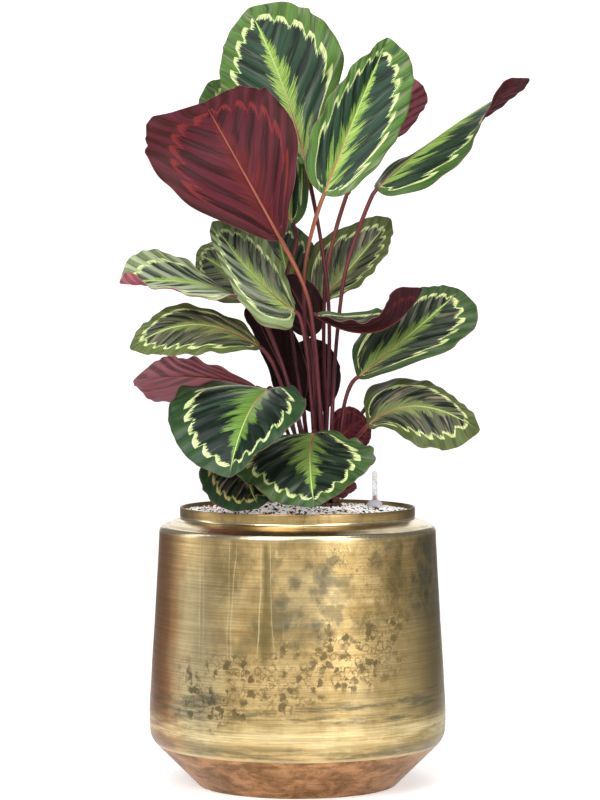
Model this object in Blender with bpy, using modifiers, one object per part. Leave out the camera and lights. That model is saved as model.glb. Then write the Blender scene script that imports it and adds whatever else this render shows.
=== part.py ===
"""Potted calathea: a rose-painted calathea grown without soil, in a spun brass planter.

Units are metres, +Z is up, the front is -Y, and the origin is the middle of the planter's base.
Each leaf is two pieces: a thin blade and the stalk that carries it up from the crown.
"""
from collections import namedtuple
from math import cos, pi, radians, sin, tau

import bmesh
import bpy
import numpy as np
from mathutils import Vector

# ---------------------------------------------------------------- driving dimensions
CLEARANCE = 0.0003             # gap between pieces that touch

PLANTER_HEIGHT = 0.340
RIM_RADIUS = 0.144
RIM_ROLL = 0.0015              # rounding of the rim's outer edge
NECK_HEIGHT = 0.3255           # where the upright neck meets the sloping shoulder
SHOULDER_RADIUS = 0.1692
SHOULDER_HEIGHT = 0.3110
SHOULDER_BEND = 0.007
WIDEST_RADIUS = 0.1815
WIDEST_HEIGHT = 0.092
FOOT_BEND = 0.024              # rounding where the side turns in towards the foot
FOOT_BEND_RADIUS = 0.1808
FOOT_BEND_HEIGHT = 0.0692
CONE_RADIUS = 0.1725           # top of the conical foot, just inside the lip that ends the side
CONE_HEIGHT = 0.0508
LIP = 0.0008
BASE_RADIUS = 0.1212
WALL = 0.003
PLANTER_STEPS = 56

POT_TOP = 0.317                # the culture pot's rim
POT_BOTTOM = 0.125
POT_RIM_RADIUS = 0.087
POT_TOP_RADIUS = 0.083
POT_BOTTOM_RADIUS = 0.066
POT_WALL = 0.0015
POT_RIM_DEPTH = 0.0055
POT_SLOTS = 8
POT_STEPS = 32
ROOT_TOP = 0.311

DRESSING_EDGE = 0.335          # height of the granulate where it meets the planter's neck
DRESSING_MOUND = 0.341         # height of the granulate at the crown
DRESSING_RADIUS = 0.1400
HOLE_SIDES = 24                # flats of a round hole

CROWN_X = 0.028                # the crown, where every stalk starts
CROWN_Y = 0.012
CROWN_RADIUS = 0.027
CROWN_TOP = 0.344

GAUGE_X = 0.0945
GAUGE_TOP = 0.383
GAUGE_RADIUS = 0.0035
GAUGE_BORE = 0.0026
GAUGE_CHAMBER_RADIUS = 0.0100
GAUGE_CHAMBER_TOP = 0.085
GAUGE_BOTTOM = 0.012
COLLAR_RADIUS = 0.0095
COLLAR_HEIGHT = 0.008
FLOAT_TOP = 0.346

BLADE_THICKNESS = 0.0012
BLADE_ROWS = 9
BLADE_COLUMNS = 7
HEART_START = 0.04             # along the midrib, where the edges reach back furthest
STALK_POINTS = 10
STALK_FOOT_RADIUS = 0.0033
STALK_RADIUS = 0.0025
STALK_JOINT_RADIUS = 0.0028    # the swollen joint below the blade
STALK_END = 0.003              # straight stretch at either end of a stalk

# ---------------------------------------------------------------- the leaves
# base, middle and tip are points on the midrib.  facing is where the upper side looks.
# fold lifts the (left, right) half of the blade, seen from above with the tip away, and curl
# bends it on to its edge, in degrees.  twist turns the blade from base to tip.  sweep draws the
# edges forward near the tip, heart draws them back past the stalk, and lean makes the right half
# the wider one.  foot is the ring and the compass direction, in degrees, where the stalk stands on
# the crown, bow is a point that the stalk passes, and bend is how far below the blade the stalk
# starts to turn towards it.  left and right widen or narrow a half of the blade: each pair is a
# place along the midrib and a share of the plain width there.  roll adds curl towards the tip.
Leaf = namedtuple(
    "Leaf",
    "name foot base middle tip facing half_width widest fold curl twist sweep heart lean bow bend"
    " left right roll",
    defaults=(0.50, (0, 0), (0, 0), 0, 0.10, 0.05, 0.0, None, 0.025, (), (), (0, 0)),
)
OUTER = 0.0220                 # radii of the three rings of feet: the oldest stalks stand outside
MIDDLE = 0.0135
INNER = 0.0055

LEAVES = [
    Leaf("01", (INNER, 330), (0.010, 0.030, 0.760), (-0.020, 0.045, 0.862), (-0.060, 0.025, 0.950),
         (0.05, -1.0, 0.1), 0.074, 0.50, (8, 8), (-15, -15), sweep=0.0,
         bow=(0.038, 0.018, 0.590), left=((0.3, 1.0), (0.5, 1.0), (0.7, 1.05), (0.9, 1.0)),
         right=((0.15, 0.6), (0.3, 0.78), (0.5, 1.13), (0.7, 1.22), (0.9, 1.2))),
    Leaf("02", (INNER, 240), (0.032, -0.020, 0.720), (0.070, -0.015, 0.815), (0.110, -0.020, 0.910),
         (0.43, -0.88, -0.18), 0.062, 0.46, (24, 20), (-10, -10), heart=0.12,
         bow=(0.008, -0.004, 0.615),
         left=((0.1, 1.15), (0.4, 0.95), (0.6, 0.85), (0.8, 0.72), (0.9, 0.55)),
         right=((0.1, 0.75), (0.3, 0.84), (0.5, 0.95), (0.7, 1.03), (0.9, 1.25))),
    Leaf("03", (MIDDLE, 277), (-0.020, -0.055, 0.665), (-0.070, -0.085, 0.755),
         (-0.112, -0.040, 0.830), (0.1, 1.0, 0.0), 0.090, 0.53, (25, 0), (-10, -10), sweep=0.58,
         lean=0.06, bow=(0.016, -0.038, 0.580),
         left=((0.1, 0.6), (0.2, 0.8), (0.35, 1.0)),
         right=((0.1, 0.55), (0.2, 0.68), (0.35, 0.87), (0.7, 1.0), (0.82, 1.1), (0.92, 1.38),
                (0.97, 1.4))),
    Leaf("04", (MIDDLE, 345), (0.096, 0.000, 0.727), (0.182, -0.005, 0.800),
         (0.281, -0.020, 0.860), (-0.57, -0.28, 0.78), 0.068, 0.40, (-20, -20), twist=-17,
         sweep=0.0, bow=(0.0555, 0.003, 0.611), bend=0.004,
         right=((0.1, 0.7), (0.25, 0.92), (0.6, 1.12), (0.8, 1.05), (0.9, 0.65)), roll=(0, 230)),
    Leaf("05", (MIDDLE, 149), (-0.005, 0.055, 0.685), (-0.055, 0.075, 0.780),
         (-0.110, 0.070, 0.863), (0.0, -1.0, 0.1), 0.068, 0.48, (5, 5),
         bow=(-0.014, 0.045, 0.615), left=((0.5, 1.0), (0.7, 0.9), (0.9, 0.8)),
         right=((0.1, 0.75), (0.3, 0.88), (0.5, 1.0), (0.7, 0.95), (0.9, 0.8))),
    Leaf("06", (MIDDLE, 50), (0.060, 0.045, 0.720), (0.097, 0.070, 0.795), (0.153, 0.060, 0.860),
         (0.2, 1.0, 0.0), 0.050, 0.55, (65, 10), bow=(0.034, 0.028, 0.610),
         left=((0.1, 0.35), (0.4, 0.5), (0.6, 0.85), (0.8, 1.2)),
         right=((0.1, 0.35), (0.4, 0.5), (0.6, 0.85), (0.8, 1.2))),
    Leaf("07", (MIDDLE, 213), (-0.060, -0.010, 0.591), (-0.130, -0.030, 0.614),
         (-0.215, -0.030, 0.613), (-0.1, -0.35, 0.93), 0.060, 0.52, (-8, 5), (10, 10), twist=-25,
         left=((0.1, 1.0), (0.3, 1.08), (0.5, 0.76), (0.7, 0.52), (0.85, 0.65), (0.95, 1.1)),
         right=((0.2, 0.65), (0.4, 0.66), (0.6, 0.95), (0.75, 1.05), (0.9, 1.2)), roll=(270, 0)),
    Leaf("08", (OUTER, 196), (-0.045, -0.020, 0.535), (-0.125, -0.045, 0.563),
         (-0.202, -0.050, 0.534), (0.0, -0.50, 0.86), 0.060, 0.52, (-5, 10),
         left=((0.1, 0.7), (0.3, 1.0), (0.8, 1.0), (0.95, 0.7)),
         right=((0.2, 0.6), (0.35, 0.55), (0.5, 0.64), (0.7, 0.66), (0.85, 0.5))),
    Leaf("09", (OUTER, 174), (-0.050, 0.020, 0.485), (-0.120, 0.030, 0.499),
         (-0.200, 0.000, 0.495), (0.0, 0.45, 0.85), 0.058, 0.52,
         left=((0.2, 0.5), (0.35, 0.55), (0.5, 0.72), (0.7, 0.97), (0.9, 1.65), (0.96, 2.0)),
         right=((0.5, 1.4), (0.7, 1.5), (0.85, 1.1), (0.95, 0.9))),
    Leaf("10", (OUTER, 240), (-0.035, -0.030, 0.485), (-0.062, -0.110, 0.450),
         (-0.080, -0.165, 0.385), (-0.28, -0.62, 0.74), 0.084, 0.44, (14, 17), (-10, -10),
         sweep=0.0, heart=0.15, lean=0.16, bend=0.020,
         left=((0.1, 0.7), (0.3, 0.88), (0.45, 1.12), (0.6, 1.2), (0.75, 1.0), (0.9, 0.7)),
         right=((0.1, 1.15), (0.4, 1.0))),
    Leaf("11", (OUTER, 284), (0.020, -0.030, 0.432), (0.015, -0.100, 0.400),
         (0.020, -0.155, 0.350), (-0.15, -0.60, 0.78), 0.085, 0.46, (12, 0), sweep=0.0,
         heart=0.12, lean=0.14, bend=0.020,
         left=((0.1, 0.52), (0.3, 0.66), (0.45, 0.84), (0.6, 1.12), (0.75, 1.35), (0.9, 1.25)),
         right=((0.5, 1.0), (0.7, 0.85), (0.9, 0.8))),
    Leaf("12", (OUTER, 218), (-0.045, -0.030, 0.420), (-0.060, -0.080, 0.390),
         (-0.045, -0.120, 0.347), (-0.15, -0.75, 0.65), 0.060, 0.50, (-5, -5), sweep=0.0,
         right=((0.4, 1.03), (0.6, 0.97))),
    Leaf("13", (OUTER, 340), (0.073, -0.010, 0.498), (0.140, -0.020, 0.554),
         (0.198, -0.010, 0.605), (-0.45, -0.71, 0.54), 0.060, 0.52, (-5, -5), sweep=0.15,
         left=((0.1, 1.8), (0.2, 1.42), (0.3, 1.18), (0.5, 1.0)),
         right=((0.1, 0.5), (0.3, 0.6), (0.5, 0.84), (0.7, 1.1), (0.9, 1.3))),
    Leaf("14", (MIDDLE, 309), (0.022, -0.014, 0.575), (0.096, -0.045, 0.556),
         (0.150, -0.050, 0.606), (-0.1, 0.15, 1.0), 0.048, 0.50, (45, 25), twist=-20, sweep=0.0,
         bend=0.012, left=((0.15, 0.6), (0.4, 0.85), (0.7, 1.0)),
         right=((0.1, 1.0), (0.3, 0.72), (0.45, 0.5), (0.6, 0.52), (0.72, 0.75), (0.9, 1.2)),
         roll=(0, 30)),
    Leaf("15", (MIDDLE, 245), (-0.002, -0.030, 0.578), (-0.055, -0.040, 0.625),
         (-0.103, -0.015, 0.688), (0.58, -0.45, 0.68), 0.060, 0.45, (-28, 8), twist=-14,
         heart=0.30, lean=-0.05, bend=0.015,
         left=((0.1, 0.9), (0.25, 0.85), (0.4, 0.7), (0.6, 0.48), (0.8, 0.4)),
         right=((0.1, 0.9), (0.5, 1.05), (0.8, 1.25), (0.95, 1.4))),
    Leaf("16", (MIDDLE, 181), (-0.055, 0.045, 0.595), (-0.090, 0.050, 0.630),
         (-0.125, 0.045, 0.650), (0.2, -0.8, 0.5), 0.046, 0.48,
         right=((0.5, 0.95), (0.8, 0.78), (0.95, 0.7))),
    Leaf("17", (MIDDLE, 117), (0.005, 0.075, 0.580), (-0.015, 0.085, 0.635),
         (-0.025, 0.085, 0.690), (0.1, -1.0, 0.1), 0.042, 0.50, (10, 10)),
    Leaf("18", (MIDDLE, 85), (0.027, 0.050, 0.590), (0.067, 0.057, 0.635), (0.115, 0.050, 0.693),
         (-0.52, -0.73, 0.43), 0.056, 0.48, (16, 16),
         left=((0.3, 1.0), (0.45, 1.05), (0.6, 0.95), (0.8, 0.75)),
         right=((0.1, 0.6), (0.3, 0.72), (0.5, 0.83), (0.8, 0.98))),
    Leaf("19", (OUTER, 318), (0.085, -0.030, 0.440), (0.145, -0.050, 0.465),
         (0.220, -0.050, 0.435), (0.1, -0.64, 0.77), 0.060, 0.42, (-8, -8), sweep=0.0, heart=0.15,
         left=((0.1, 1.6), (0.3, 1.12), (0.6, 0.95), (0.8, 0.85)),
         right=((0.15, 0.35), (0.3, 0.6), (0.5, 0.97), (0.7, 1.28), (0.9, 1.5))),
    Leaf("20", (OUTER, 92), (0.026, 0.060, 0.452), (0.020, 0.085, 0.499), (0.015, 0.085, 0.545),
         (0.0, 1.0, 0.1), 0.034),
    Leaf("21", (OUTER, 152), (0.004, 0.045, 0.465), (-0.031, 0.055, 0.530),
         (-0.058, 0.050, 0.590), (0.1, 1.0, 0.0), 0.034, bend=0.015,
         right=((0.1, 1.0), (0.2, 0.8), (0.35, 0.45), (0.75, 0.4), (0.92, 0.8))),
    Leaf("22", (INNER, 60), (0.018, 0.027, 0.548), (0.004, 0.033, 0.585), (-0.018, 0.029, 0.622),
         (0.0, 1.0, 0.0), 0.028),
    Leaf("23", (OUTER, 20), (0.046, 0.020, 0.420), (0.065, 0.020, 0.434), (0.084, 0.018, 0.448),
         (0.2, 0.97, 0.1), 0.029, bend=0.010),
    Leaf("24", (OUTER, 262), (-0.005, -0.070, 0.362), (0.036, -0.090, 0.359),
         (0.069, -0.100, 0.375), (0.0, 0.3, 1.0), 0.042, 0.50, (10, 25), sweep=0.0, bend=0.010),
    Leaf("25", (OUTER, 130), (-0.045, 0.100, 0.440), (-0.080, 0.150, 0.435),
         (-0.110, 0.190, 0.405), (-0.2, 0.6, 0.8), 0.055),
    Leaf("26", (OUTER, 44), (0.105, 0.100, 0.475), (0.140, 0.150, 0.460), (0.185, 0.190, 0.430),
         (0.2, 0.6, 0.8), 0.045),
]


# ---------------------------------------------------------------- small helpers
def clear_scene():
    for thing in list(bpy.data.objects):
        bpy.data.objects.remove(thing, do_unlink=True)


def make_collection(name):
    group = bpy.data.collections.new(name)
    bpy.context.scene.collection.children.link(group)
    return group


def make_material(name, colour, roughness, metallic=0.0):
    material = bpy.data.materials.new(name)
    material.use_nodes = True
    shader = material.node_tree.nodes["Principled BSDF"]
    shader.inputs["Base Color"].default_value = (*colour, 1.0)
    shader.inputs["Roughness"].default_value = roughness
    shader.inputs["Metallic"].default_value = metallic
    return material


def add_object(name, data, group, material=None):
    thing = bpy.data.objects.new(name, data)
    group.objects.link(thing)
    if material:
        data.materials.append(material)
    return thing


def add_turned(name, profile, steps, group, material, at=(0.0, 0.0)):
    """A turned piece: the profile runs up the inside and down the outside, from axis to axis."""
    mesh = bpy.data.meshes.new(name)
    points = [(radius, 0.0, height) for radius, height in profile]
    mesh.from_pydata(points, [(i, i + 1) for i in range(len(points) - 1)], [])
    piece = add_object(name, mesh, group, material)
    piece.location = (at[0], at[1], 0.0)
    screw = piece.modifiers.new("turn", "SCREW")
    screw.steps = steps
    screw.render_steps = steps
    screw.use_merge_vertices = True
    screw.merge_threshold = 0.0001
    return piece


def add_ring(name, profile, steps, group, material, at=(0.0, 0.0)):
    """A turned piece with a hole through it: the profile is a closed outline off the axis."""
    return add_turned(name, profile + profile[:1], steps, group, material, at)


def cut(piece, cutter):
    boolean = piece.modifiers.new("cut", "BOOLEAN")
    boolean.operation = "DIFFERENCE"
    boolean.object = cutter
    cutter.display_type = "WIRE"
    cutter.hide_render = True


def add_post_cutter(name, radius, bottom, top, group, at):
    """A straight round cutter."""
    mesh = bpy.data.meshes.new(name)
    shape = bmesh.new()
    clear_of_flats = radius / cos(pi / HOLE_SIDES)
    bmesh.ops.create_cone(shape, cap_ends=True, segments=HOLE_SIDES, radius1=clear_of_flats,
                          radius2=clear_of_flats, depth=top - bottom)
    shape.to_mesh(mesh)
    shape.free()
    cutter = add_object(name, mesh, group)
    cutter.location = (at[0], at[1], (top + bottom) / 2)
    return cutter


def arc(middle_r, middle_z, radius, start, end, count):
    """Points of a round stretch of a profile, by its start and end angles in degrees."""
    angles = [radians(start + (end - start) * i / count) for i in range(count + 1)]
    return [(middle_r + radius * cos(a), middle_z + radius * sin(a)) for a in angles]


# ---------------------------------------------------------------- planter
def planter_inside(clearance):
    """The planter's inner wall from its floor to its rim, moved inwards by a clearance."""
    inset = WALL + clearance
    return [
        (BASE_RADIUS - inset * 0.4, inset),
        (CONE_RADIUS - inset * 1.1, CONE_HEIGHT + inset * 0.3),
        (FOOT_BEND_RADIUS - inset, FOOT_BEND_HEIGHT),
        (WIDEST_RADIUS - inset, WIDEST_HEIGHT),
        (SHOULDER_RADIUS - inset, SHOULDER_HEIGHT - WALL),
        (SHOULDER_RADIUS - SHOULDER_BEND - clearance, SHOULDER_HEIGHT + WALL - clearance),
        (RIM_RADIUS - inset, NECK_HEIGHT - WALL - clearance),
    ]


def build_planter(group, material):
    outside = arc(RIM_RADIUS - RIM_ROLL, PLANTER_HEIGHT - RIM_ROLL, RIM_ROLL, 90, 0, 2)
    outside += [(RIM_RADIUS, NECK_HEIGHT + 0.0025), (RIM_RADIUS + 0.0015, NECK_HEIGHT)]
    outside += arc(SHOULDER_RADIUS - SHOULDER_BEND, SHOULDER_HEIGHT, SHOULDER_BEND, 75, 4, 4)
    outside += [(0.1751, 0.200), (WIDEST_RADIUS - 0.0007, 0.108), (WIDEST_RADIUS, WIDEST_HEIGHT)]
    outside += arc(FOOT_BEND_RADIUS - FOOT_BEND, FOOT_BEND_HEIGHT, FOOT_BEND, 0, -45, 4)
    outside += [(CONE_RADIUS + LIP, CONE_HEIGHT + LIP), (CONE_RADIUS, CONE_HEIGHT)]
    outside += [(BASE_RADIUS + 0.001, 0.001), (BASE_RADIUS, 0.0)]
    inside = [(0.0, WALL)] + planter_inside(0.0)
    inside += [(RIM_RADIUS - WALL, PLANTER_HEIGHT - RIM_ROLL)]
    inside += [(RIM_RADIUS - WALL + 0.0010, PLANTER_HEIGHT)]
    return add_turned("planter", inside + outside + [(0.0, 0.0)], PLANTER_STEPS, group, material)


# ---------------------------------------------------------------- what the planter holds
def pot_radius(height):
    """The culture pot's outer radius at a height."""
    share = (height - POT_BOTTOM) / (POT_TOP - POT_BOTTOM)
    return POT_BOTTOM_RADIUS + (POT_TOP_RADIUS - POT_BOTTOM_RADIUS) * share


def build_granulate_fill(group, cutters, material):
    """Mineral granulate below and round the culture pot."""
    top = POT_TOP - CLEARANCE
    ledge = POT_TOP - POT_RIM_DEPTH - CLEARANCE
    wall = planter_inside(CLEARANCE)
    below_top = [point for point in wall if point[1] < top]
    shoulder_out = below_top[-1]
    shoulder_in = wall[-1]
    share = (top - shoulder_out[1]) / (shoulder_in[1] - shoulder_out[1])
    edge = shoulder_out[0] + share * (shoulder_in[0] - shoulder_out[0])
    recess = [
        (0.0, POT_BOTTOM - CLEARANCE),
        (POT_BOTTOM_RADIUS + CLEARANCE, POT_BOTTOM - CLEARANCE),
        (pot_radius(ledge) + CLEARANCE, ledge),
        (POT_RIM_RADIUS + CLEARANCE, ledge),
        (POT_RIM_RADIUS + CLEARANCE, top),
    ]
    outside = [(edge, top)] + below_top[::-1] + [(0.0, WALL + CLEARANCE)]
    fill = add_turned("granulate_fill", recess + outside, 40, group, material)
    hole = add_turned(
        "gauge_hole",
        [(0.0, PLANTER_HEIGHT), (GAUGE_RADIUS + CLEARANCE, PLANTER_HEIGHT),
         (GAUGE_RADIUS + CLEARANCE, GAUGE_CHAMBER_TOP + CLEARANCE),
         (GAUGE_CHAMBER_RADIUS + CLEARANCE, GAUGE_CHAMBER_TOP + CLEARANCE),
         (GAUGE_CHAMBER_RADIUS + CLEARANCE, GAUGE_BOTTOM - CLEARANCE),
         (0.0, GAUGE_BOTTOM - CLEARANCE)],
        16, cutters, None, (GAUGE_X, 0.0))
    cut(fill, hole)
    return fill


def build_culture_pot(group, cutters, material):
    """The slotted plastic pot that the roots grow in."""
    inner_bottom = POT_BOTTOM + POT_WALL
    profile = [
        (0.0, inner_bottom),
        (POT_BOTTOM_RADIUS - POT_WALL, inner_bottom),
        (POT_TOP_RADIUS - POT_WALL, POT_TOP),
        (POT_RIM_RADIUS, POT_TOP),
        (POT_RIM_RADIUS, POT_TOP - POT_RIM_DEPTH),
        (pot_radius(POT_TOP - POT_RIM_DEPTH), POT_TOP - POT_RIM_DEPTH),
        (POT_BOTTOM_RADIUS, POT_BOTTOM),
        (0.0, POT_BOTTOM),
    ]
    pot = add_turned("culture_pot", profile, POT_STEPS, group, material)
    mesh = bpy.data.meshes.new("pot_slots")
    shape = bmesh.new()
    for i in range(POT_SLOTS):
        angle = tau * (i + 0.5) / POT_SLOTS
        slot = bmesh.ops.create_cube(shape, size=1.0)["verts"]
        bmesh.ops.scale(shape, verts=slot, vec=(0.020, 0.004, 0.060))
        bmesh.ops.translate(shape, verts=slot, vec=(0.071, 0.0, POT_BOTTOM + 0.055))
        turn = ((cos(angle), -sin(angle), 0.0), (sin(angle), cos(angle), 0.0), (0.0, 0.0, 1.0))
        for corner in slot:
            corner.co = Vector([sum(row[k] * corner.co[k] for k in range(3)) for row in turn])
    shape.to_mesh(mesh)
    shape.free()
    cut(pot, add_object("pot_slots", mesh, cutters))
    return pot


def build_root_ball(group, cutters, material):
    """Roots in granulate, with the crown that stands up through the top layer."""
    inset = POT_WALL + CLEARANCE * 1.5
    profile = [
        (0.0, ROOT_TOP), (pot_radius(ROOT_TOP) - inset, ROOT_TOP),
        (pot_radius(POT_BOTTOM + inset) - inset, POT_BOTTOM + inset), (0.0, POT_BOTTOM + inset),
    ]
    ball = add_turned("root_ball", profile, 28, group, material)
    crown = add_turned(
        "crown",
        [(0.0, CROWN_TOP), (CROWN_RADIUS - 0.0015, CROWN_TOP), (CROWN_RADIUS, CROWN_TOP - 0.004),
         (CROWN_RADIUS - 0.003, ROOT_TOP - 0.010), (0.0, ROOT_TOP - 0.010)],
        28, cutters, None, (CROWN_X, CROWN_Y))
    crown.display_type = "WIRE"
    crown.hide_render = True
    join = ball.modifiers.new("crown", "BOOLEAN")
    join.operation = "UNION"
    join.object = crown
    return ball


def build_top_dressing(group, cutters, material):
    """The mounded top layer of granulate, open where the crown and the gauge come through."""
    bottom = POT_TOP + CLEARANCE
    mound = [
        (0.0, DRESSING_MOUND), (0.035, DRESSING_MOUND), (0.080, DRESSING_MOUND - 0.002),
        (0.120, DRESSING_EDGE + 0.0015), (DRESSING_RADIUS, DRESSING_EDGE),
        (DRESSING_RADIUS, bottom + 0.0065), (DRESSING_RADIUS - 0.004, bottom), (0.0, bottom),
    ]
    dressing = add_turned("top_dressing", mound, 40, group, material)
    reach = 0.02
    cut(dressing, add_post_cutter("crown_hole", CROWN_RADIUS + CLEARANCE, bottom - reach,
                                  DRESSING_MOUND + reach, cutters, (CROWN_X, CROWN_Y)))
    cut(dressing, add_post_cutter("tube_hole", GAUGE_RADIUS + CLEARANCE, bottom - reach,
                                  DRESSING_MOUND + reach, cutters, (GAUGE_X, 0.0)))
    return dressing


# ---------------------------------------------------------------- water gauge
def build_gauge(group, clear, red):
    """A clear tube with a float chamber at its foot, the float in it, and a collar on the granulate."""
    wall = GAUGE_RADIUS - GAUGE_BORE
    chamber_bore = GAUGE_CHAMBER_RADIUS - wall
    tube = [
        (0.0, GAUGE_TOP - wall), (GAUGE_BORE, GAUGE_TOP - wall),
        (GAUGE_BORE, GAUGE_CHAMBER_TOP - wall), (chamber_bore, GAUGE_CHAMBER_TOP - wall),
        (chamber_bore, GAUGE_BOTTOM + wall), (0.004, GAUGE_BOTTOM + wall), (0.004, GAUGE_BOTTOM),
        (GAUGE_CHAMBER_RADIUS, GAUGE_BOTTOM), (GAUGE_CHAMBER_RADIUS, GAUGE_CHAMBER_TOP),
        (GAUGE_RADIUS, GAUGE_CHAMBER_TOP), (GAUGE_RADIUS, GAUGE_TOP), (0.0, GAUGE_TOP),
    ]
    # the outline is listed from the inside of the closed top, so it is turned the other way round
    add_turned("gauge_tube", tube[::-1], 16, group, clear, (GAUGE_X, 0.0))
    rod = GAUGE_BORE - 2 * CLEARANCE
    seat = GAUGE_BOTTOM + wall + CLEARANCE
    swimmer = [
        (0.0, FLOAT_TOP), (rod, FLOAT_TOP), (rod, seat + 0.034),
        (chamber_bore - 0.0008, seat + 0.030), (chamber_bore - 0.0008, seat), (0.0, seat),
    ]
    add_turned("gauge_float", swimmer, 12, group, red, (GAUGE_X, 0.0))
    seat = DRESSING_MOUND - 0.0008
    bore = GAUGE_RADIUS + CLEARANCE
    collar = [
        (bore, seat), (bore, seat + COLLAR_HEIGHT), (bore + 0.0015, seat + COLLAR_HEIGHT),
        (COLLAR_RADIUS - 0.0015, seat + 0.0045), (COLLAR_RADIUS, seat + 0.002), (COLLAR_RADIUS, seat),
    ]
    add_ring("gauge_collar", collar, 16, group, clear, (GAUGE_X, 0.0))


# ---------------------------------------------------------------- blades
def width_share(along, widest):
    """Half width of a blade as a share of its widest, at a place along the midrib from 0 to 1."""
    power = np.log(0.5) / np.log(widest)
    return np.sin(pi * np.clip(along, 0.0002, 0.9998) ** power) ** 0.5


def turn_about(vectors, axes, angles):
    """Vectors turned about axes that stand square to them."""
    return vectors * np.cos(angles)[:, None] + np.cross(axes, vectors) * np.sin(angles)[:, None]


def blade_surface(leaf, along, across):
    """Points of a blade on a grid: along runs from 0 to 1, and across from -1 to 1."""
    base, middle, tip = (np.array(point) for point in (leaf.base, leaf.middle, leaf.tip))
    handle = 2 * middle - (base + tip) / 2
    u = along[:, None]
    midrib = (1 - u) ** 2 * base + 2 * u * (1 - u) * handle + u ** 2 * tip
    forward = 2 * (1 - u) * (handle - base) + 2 * u * (tip - handle)
    forward /= np.linalg.norm(forward, axis=1, keepdims=True)
    facing = np.array(leaf.facing)
    up = facing - (forward @ facing)[:, None] * forward
    up /= np.linalg.norm(up, axis=1, keepdims=True)
    up = turn_about(up, forward, radians(leaf.twist) * (2 * along - 1))
    right = np.cross(forward, up)
    share = width_share(along, leaf.widest)
    surface = np.zeros((len(along), len(across), 3))
    for column, v in enumerate(across):
        side = 1 if v >= 0 else -1
        half = (side + 1) // 2
        width = leaf.half_width * (1 + side * leaf.lean) * share
        width = width * edge_share((leaf.left, leaf.right)[half], along)
        fold = radians(leaf.fold[half])
        curl = radians(leaf.curl[half]) + radians(leaf.roll[half]) * along ** 6
        out, lift = arc_reach(fold, curl, abs(v))
        pulled = leaf.heart * (1 - along) * np.minimum(along / HEART_START, 1.0)
        drawn = abs(v) ** 1.5 * (leaf.sweep * along - pulled)
        surface[:, column] = (midrib + side * right * (out * width)[:, None]
                              + up * (lift * width)[:, None] + forward * (drawn * width)[:, None])
    return surface


def edge_share(pairs, along):
    """The share of its plain width that a half of a blade has, at places along the midrib."""
    if not pairs:
        return np.ones_like(along)
    places, shares = zip(*pairs)
    return sum(np.interp(along + shift, places, shares) for shift in (-0.04, 0.0, 0.04)) / 3


def arc_reach(fold, curl, distance):
    """How far out and up a half blade has come after a distance along its cross-section."""
    curl = np.where(np.abs(curl) < 0.001, 0.001, curl)
    end = fold + curl * distance
    return (np.sin(end) - sin(fold)) / curl, (cos(fold) - np.cos(end)) / curl


def build_blade(leaf, group, material):
    """A thin blade: a grid shaped by its midrib and outline, given its thickness by Solidify."""
    along = 0.5 - 0.5 * np.cos(np.linspace(0.0, pi, BLADE_ROWS))
    across = np.linspace(-1.0, 1.0, BLADE_COLUMNS)
    surface = blade_surface(leaf, along, across)
    mesh = bpy.data.meshes.new("leaf_" + leaf.name)
    shape = bmesh.new()
    bmesh.ops.create_grid(shape, x_segments=BLADE_ROWS - 1, y_segments=BLADE_COLUMNS - 1, size=1.0)
    for corner in shape.verts:
        row = round((corner.co.x + 1) / 2 * (BLADE_ROWS - 1))
        column = round((1 - corner.co.y) / 2 * (BLADE_COLUMNS - 1))
        corner.co = surface[row, column]
    shape.to_mesh(mesh)
    shape.free()
    blade = add_object("leaf_" + leaf.name, mesh, group, material)
    solidify = blade.modifiers.new("thickness", "SOLIDIFY")
    solidify.thickness = BLADE_THICKNESS
    solidify.offset = 0.0
    for polygon in mesh.polygons:
        polygon.use_smooth = True
    return blade


# ---------------------------------------------------------------- stalks
def stalk_foot(leaf):
    """Where a stalk stands on the crown."""
    radius, heading = leaf.foot
    return Vector((CROWN_X + radius * cos(radians(heading)),
                   CROWN_Y + radius * sin(radians(heading)), CROWN_TOP + CLEARANCE))


def cubic(start, first, second, end, share):
    """A point of a cubic curve."""
    return ((1 - share) ** 3 * start + 3 * share * (1 - share) ** 2 * first
            + 3 * share ** 2 * (1 - share) * second + share ** 3 * end)


def stalk_route(leaf):
    """The stalk's middle line, from its foot on the crown to the blade's base."""
    base = Vector(leaf.base)
    toward = (2 * (Vector(leaf.middle) * 2 - (base + Vector(leaf.tip)) / 2 - base)).normalized()
    foot = stalk_foot(leaf)
    end = base - toward * CLEARANCE
    rise = Vector((0.0, 0.0, 1.0))
    start = foot + rise * STALK_END
    finish = end - toward * STALK_END
    bend = min(leaf.bend, 0.35 * (finish - start).length)
    stops = [start, finish]
    headings = [rise, toward]
    if leaf.bow:
        stops.insert(1, Vector(leaf.bow))
        headings.insert(1, (finish - start).normalized())
    route = [foot]
    pieces = len(stops) - 1
    count = (STALK_POINTS - 1) // pieces
    for k in range(pieces):
        reach = (stops[k + 1] - stops[k]).length / 3
        leave = headings[k] * reach
        arrive = headings[k + 1] * (bend if k == pieces - 1 else reach)
        for i in range(count):
            route.append(cubic(stops[k], stops[k] + leave, stops[k + 1] - arrive, stops[k + 1],
                               i / count))
    return route + [finish, end]


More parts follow.
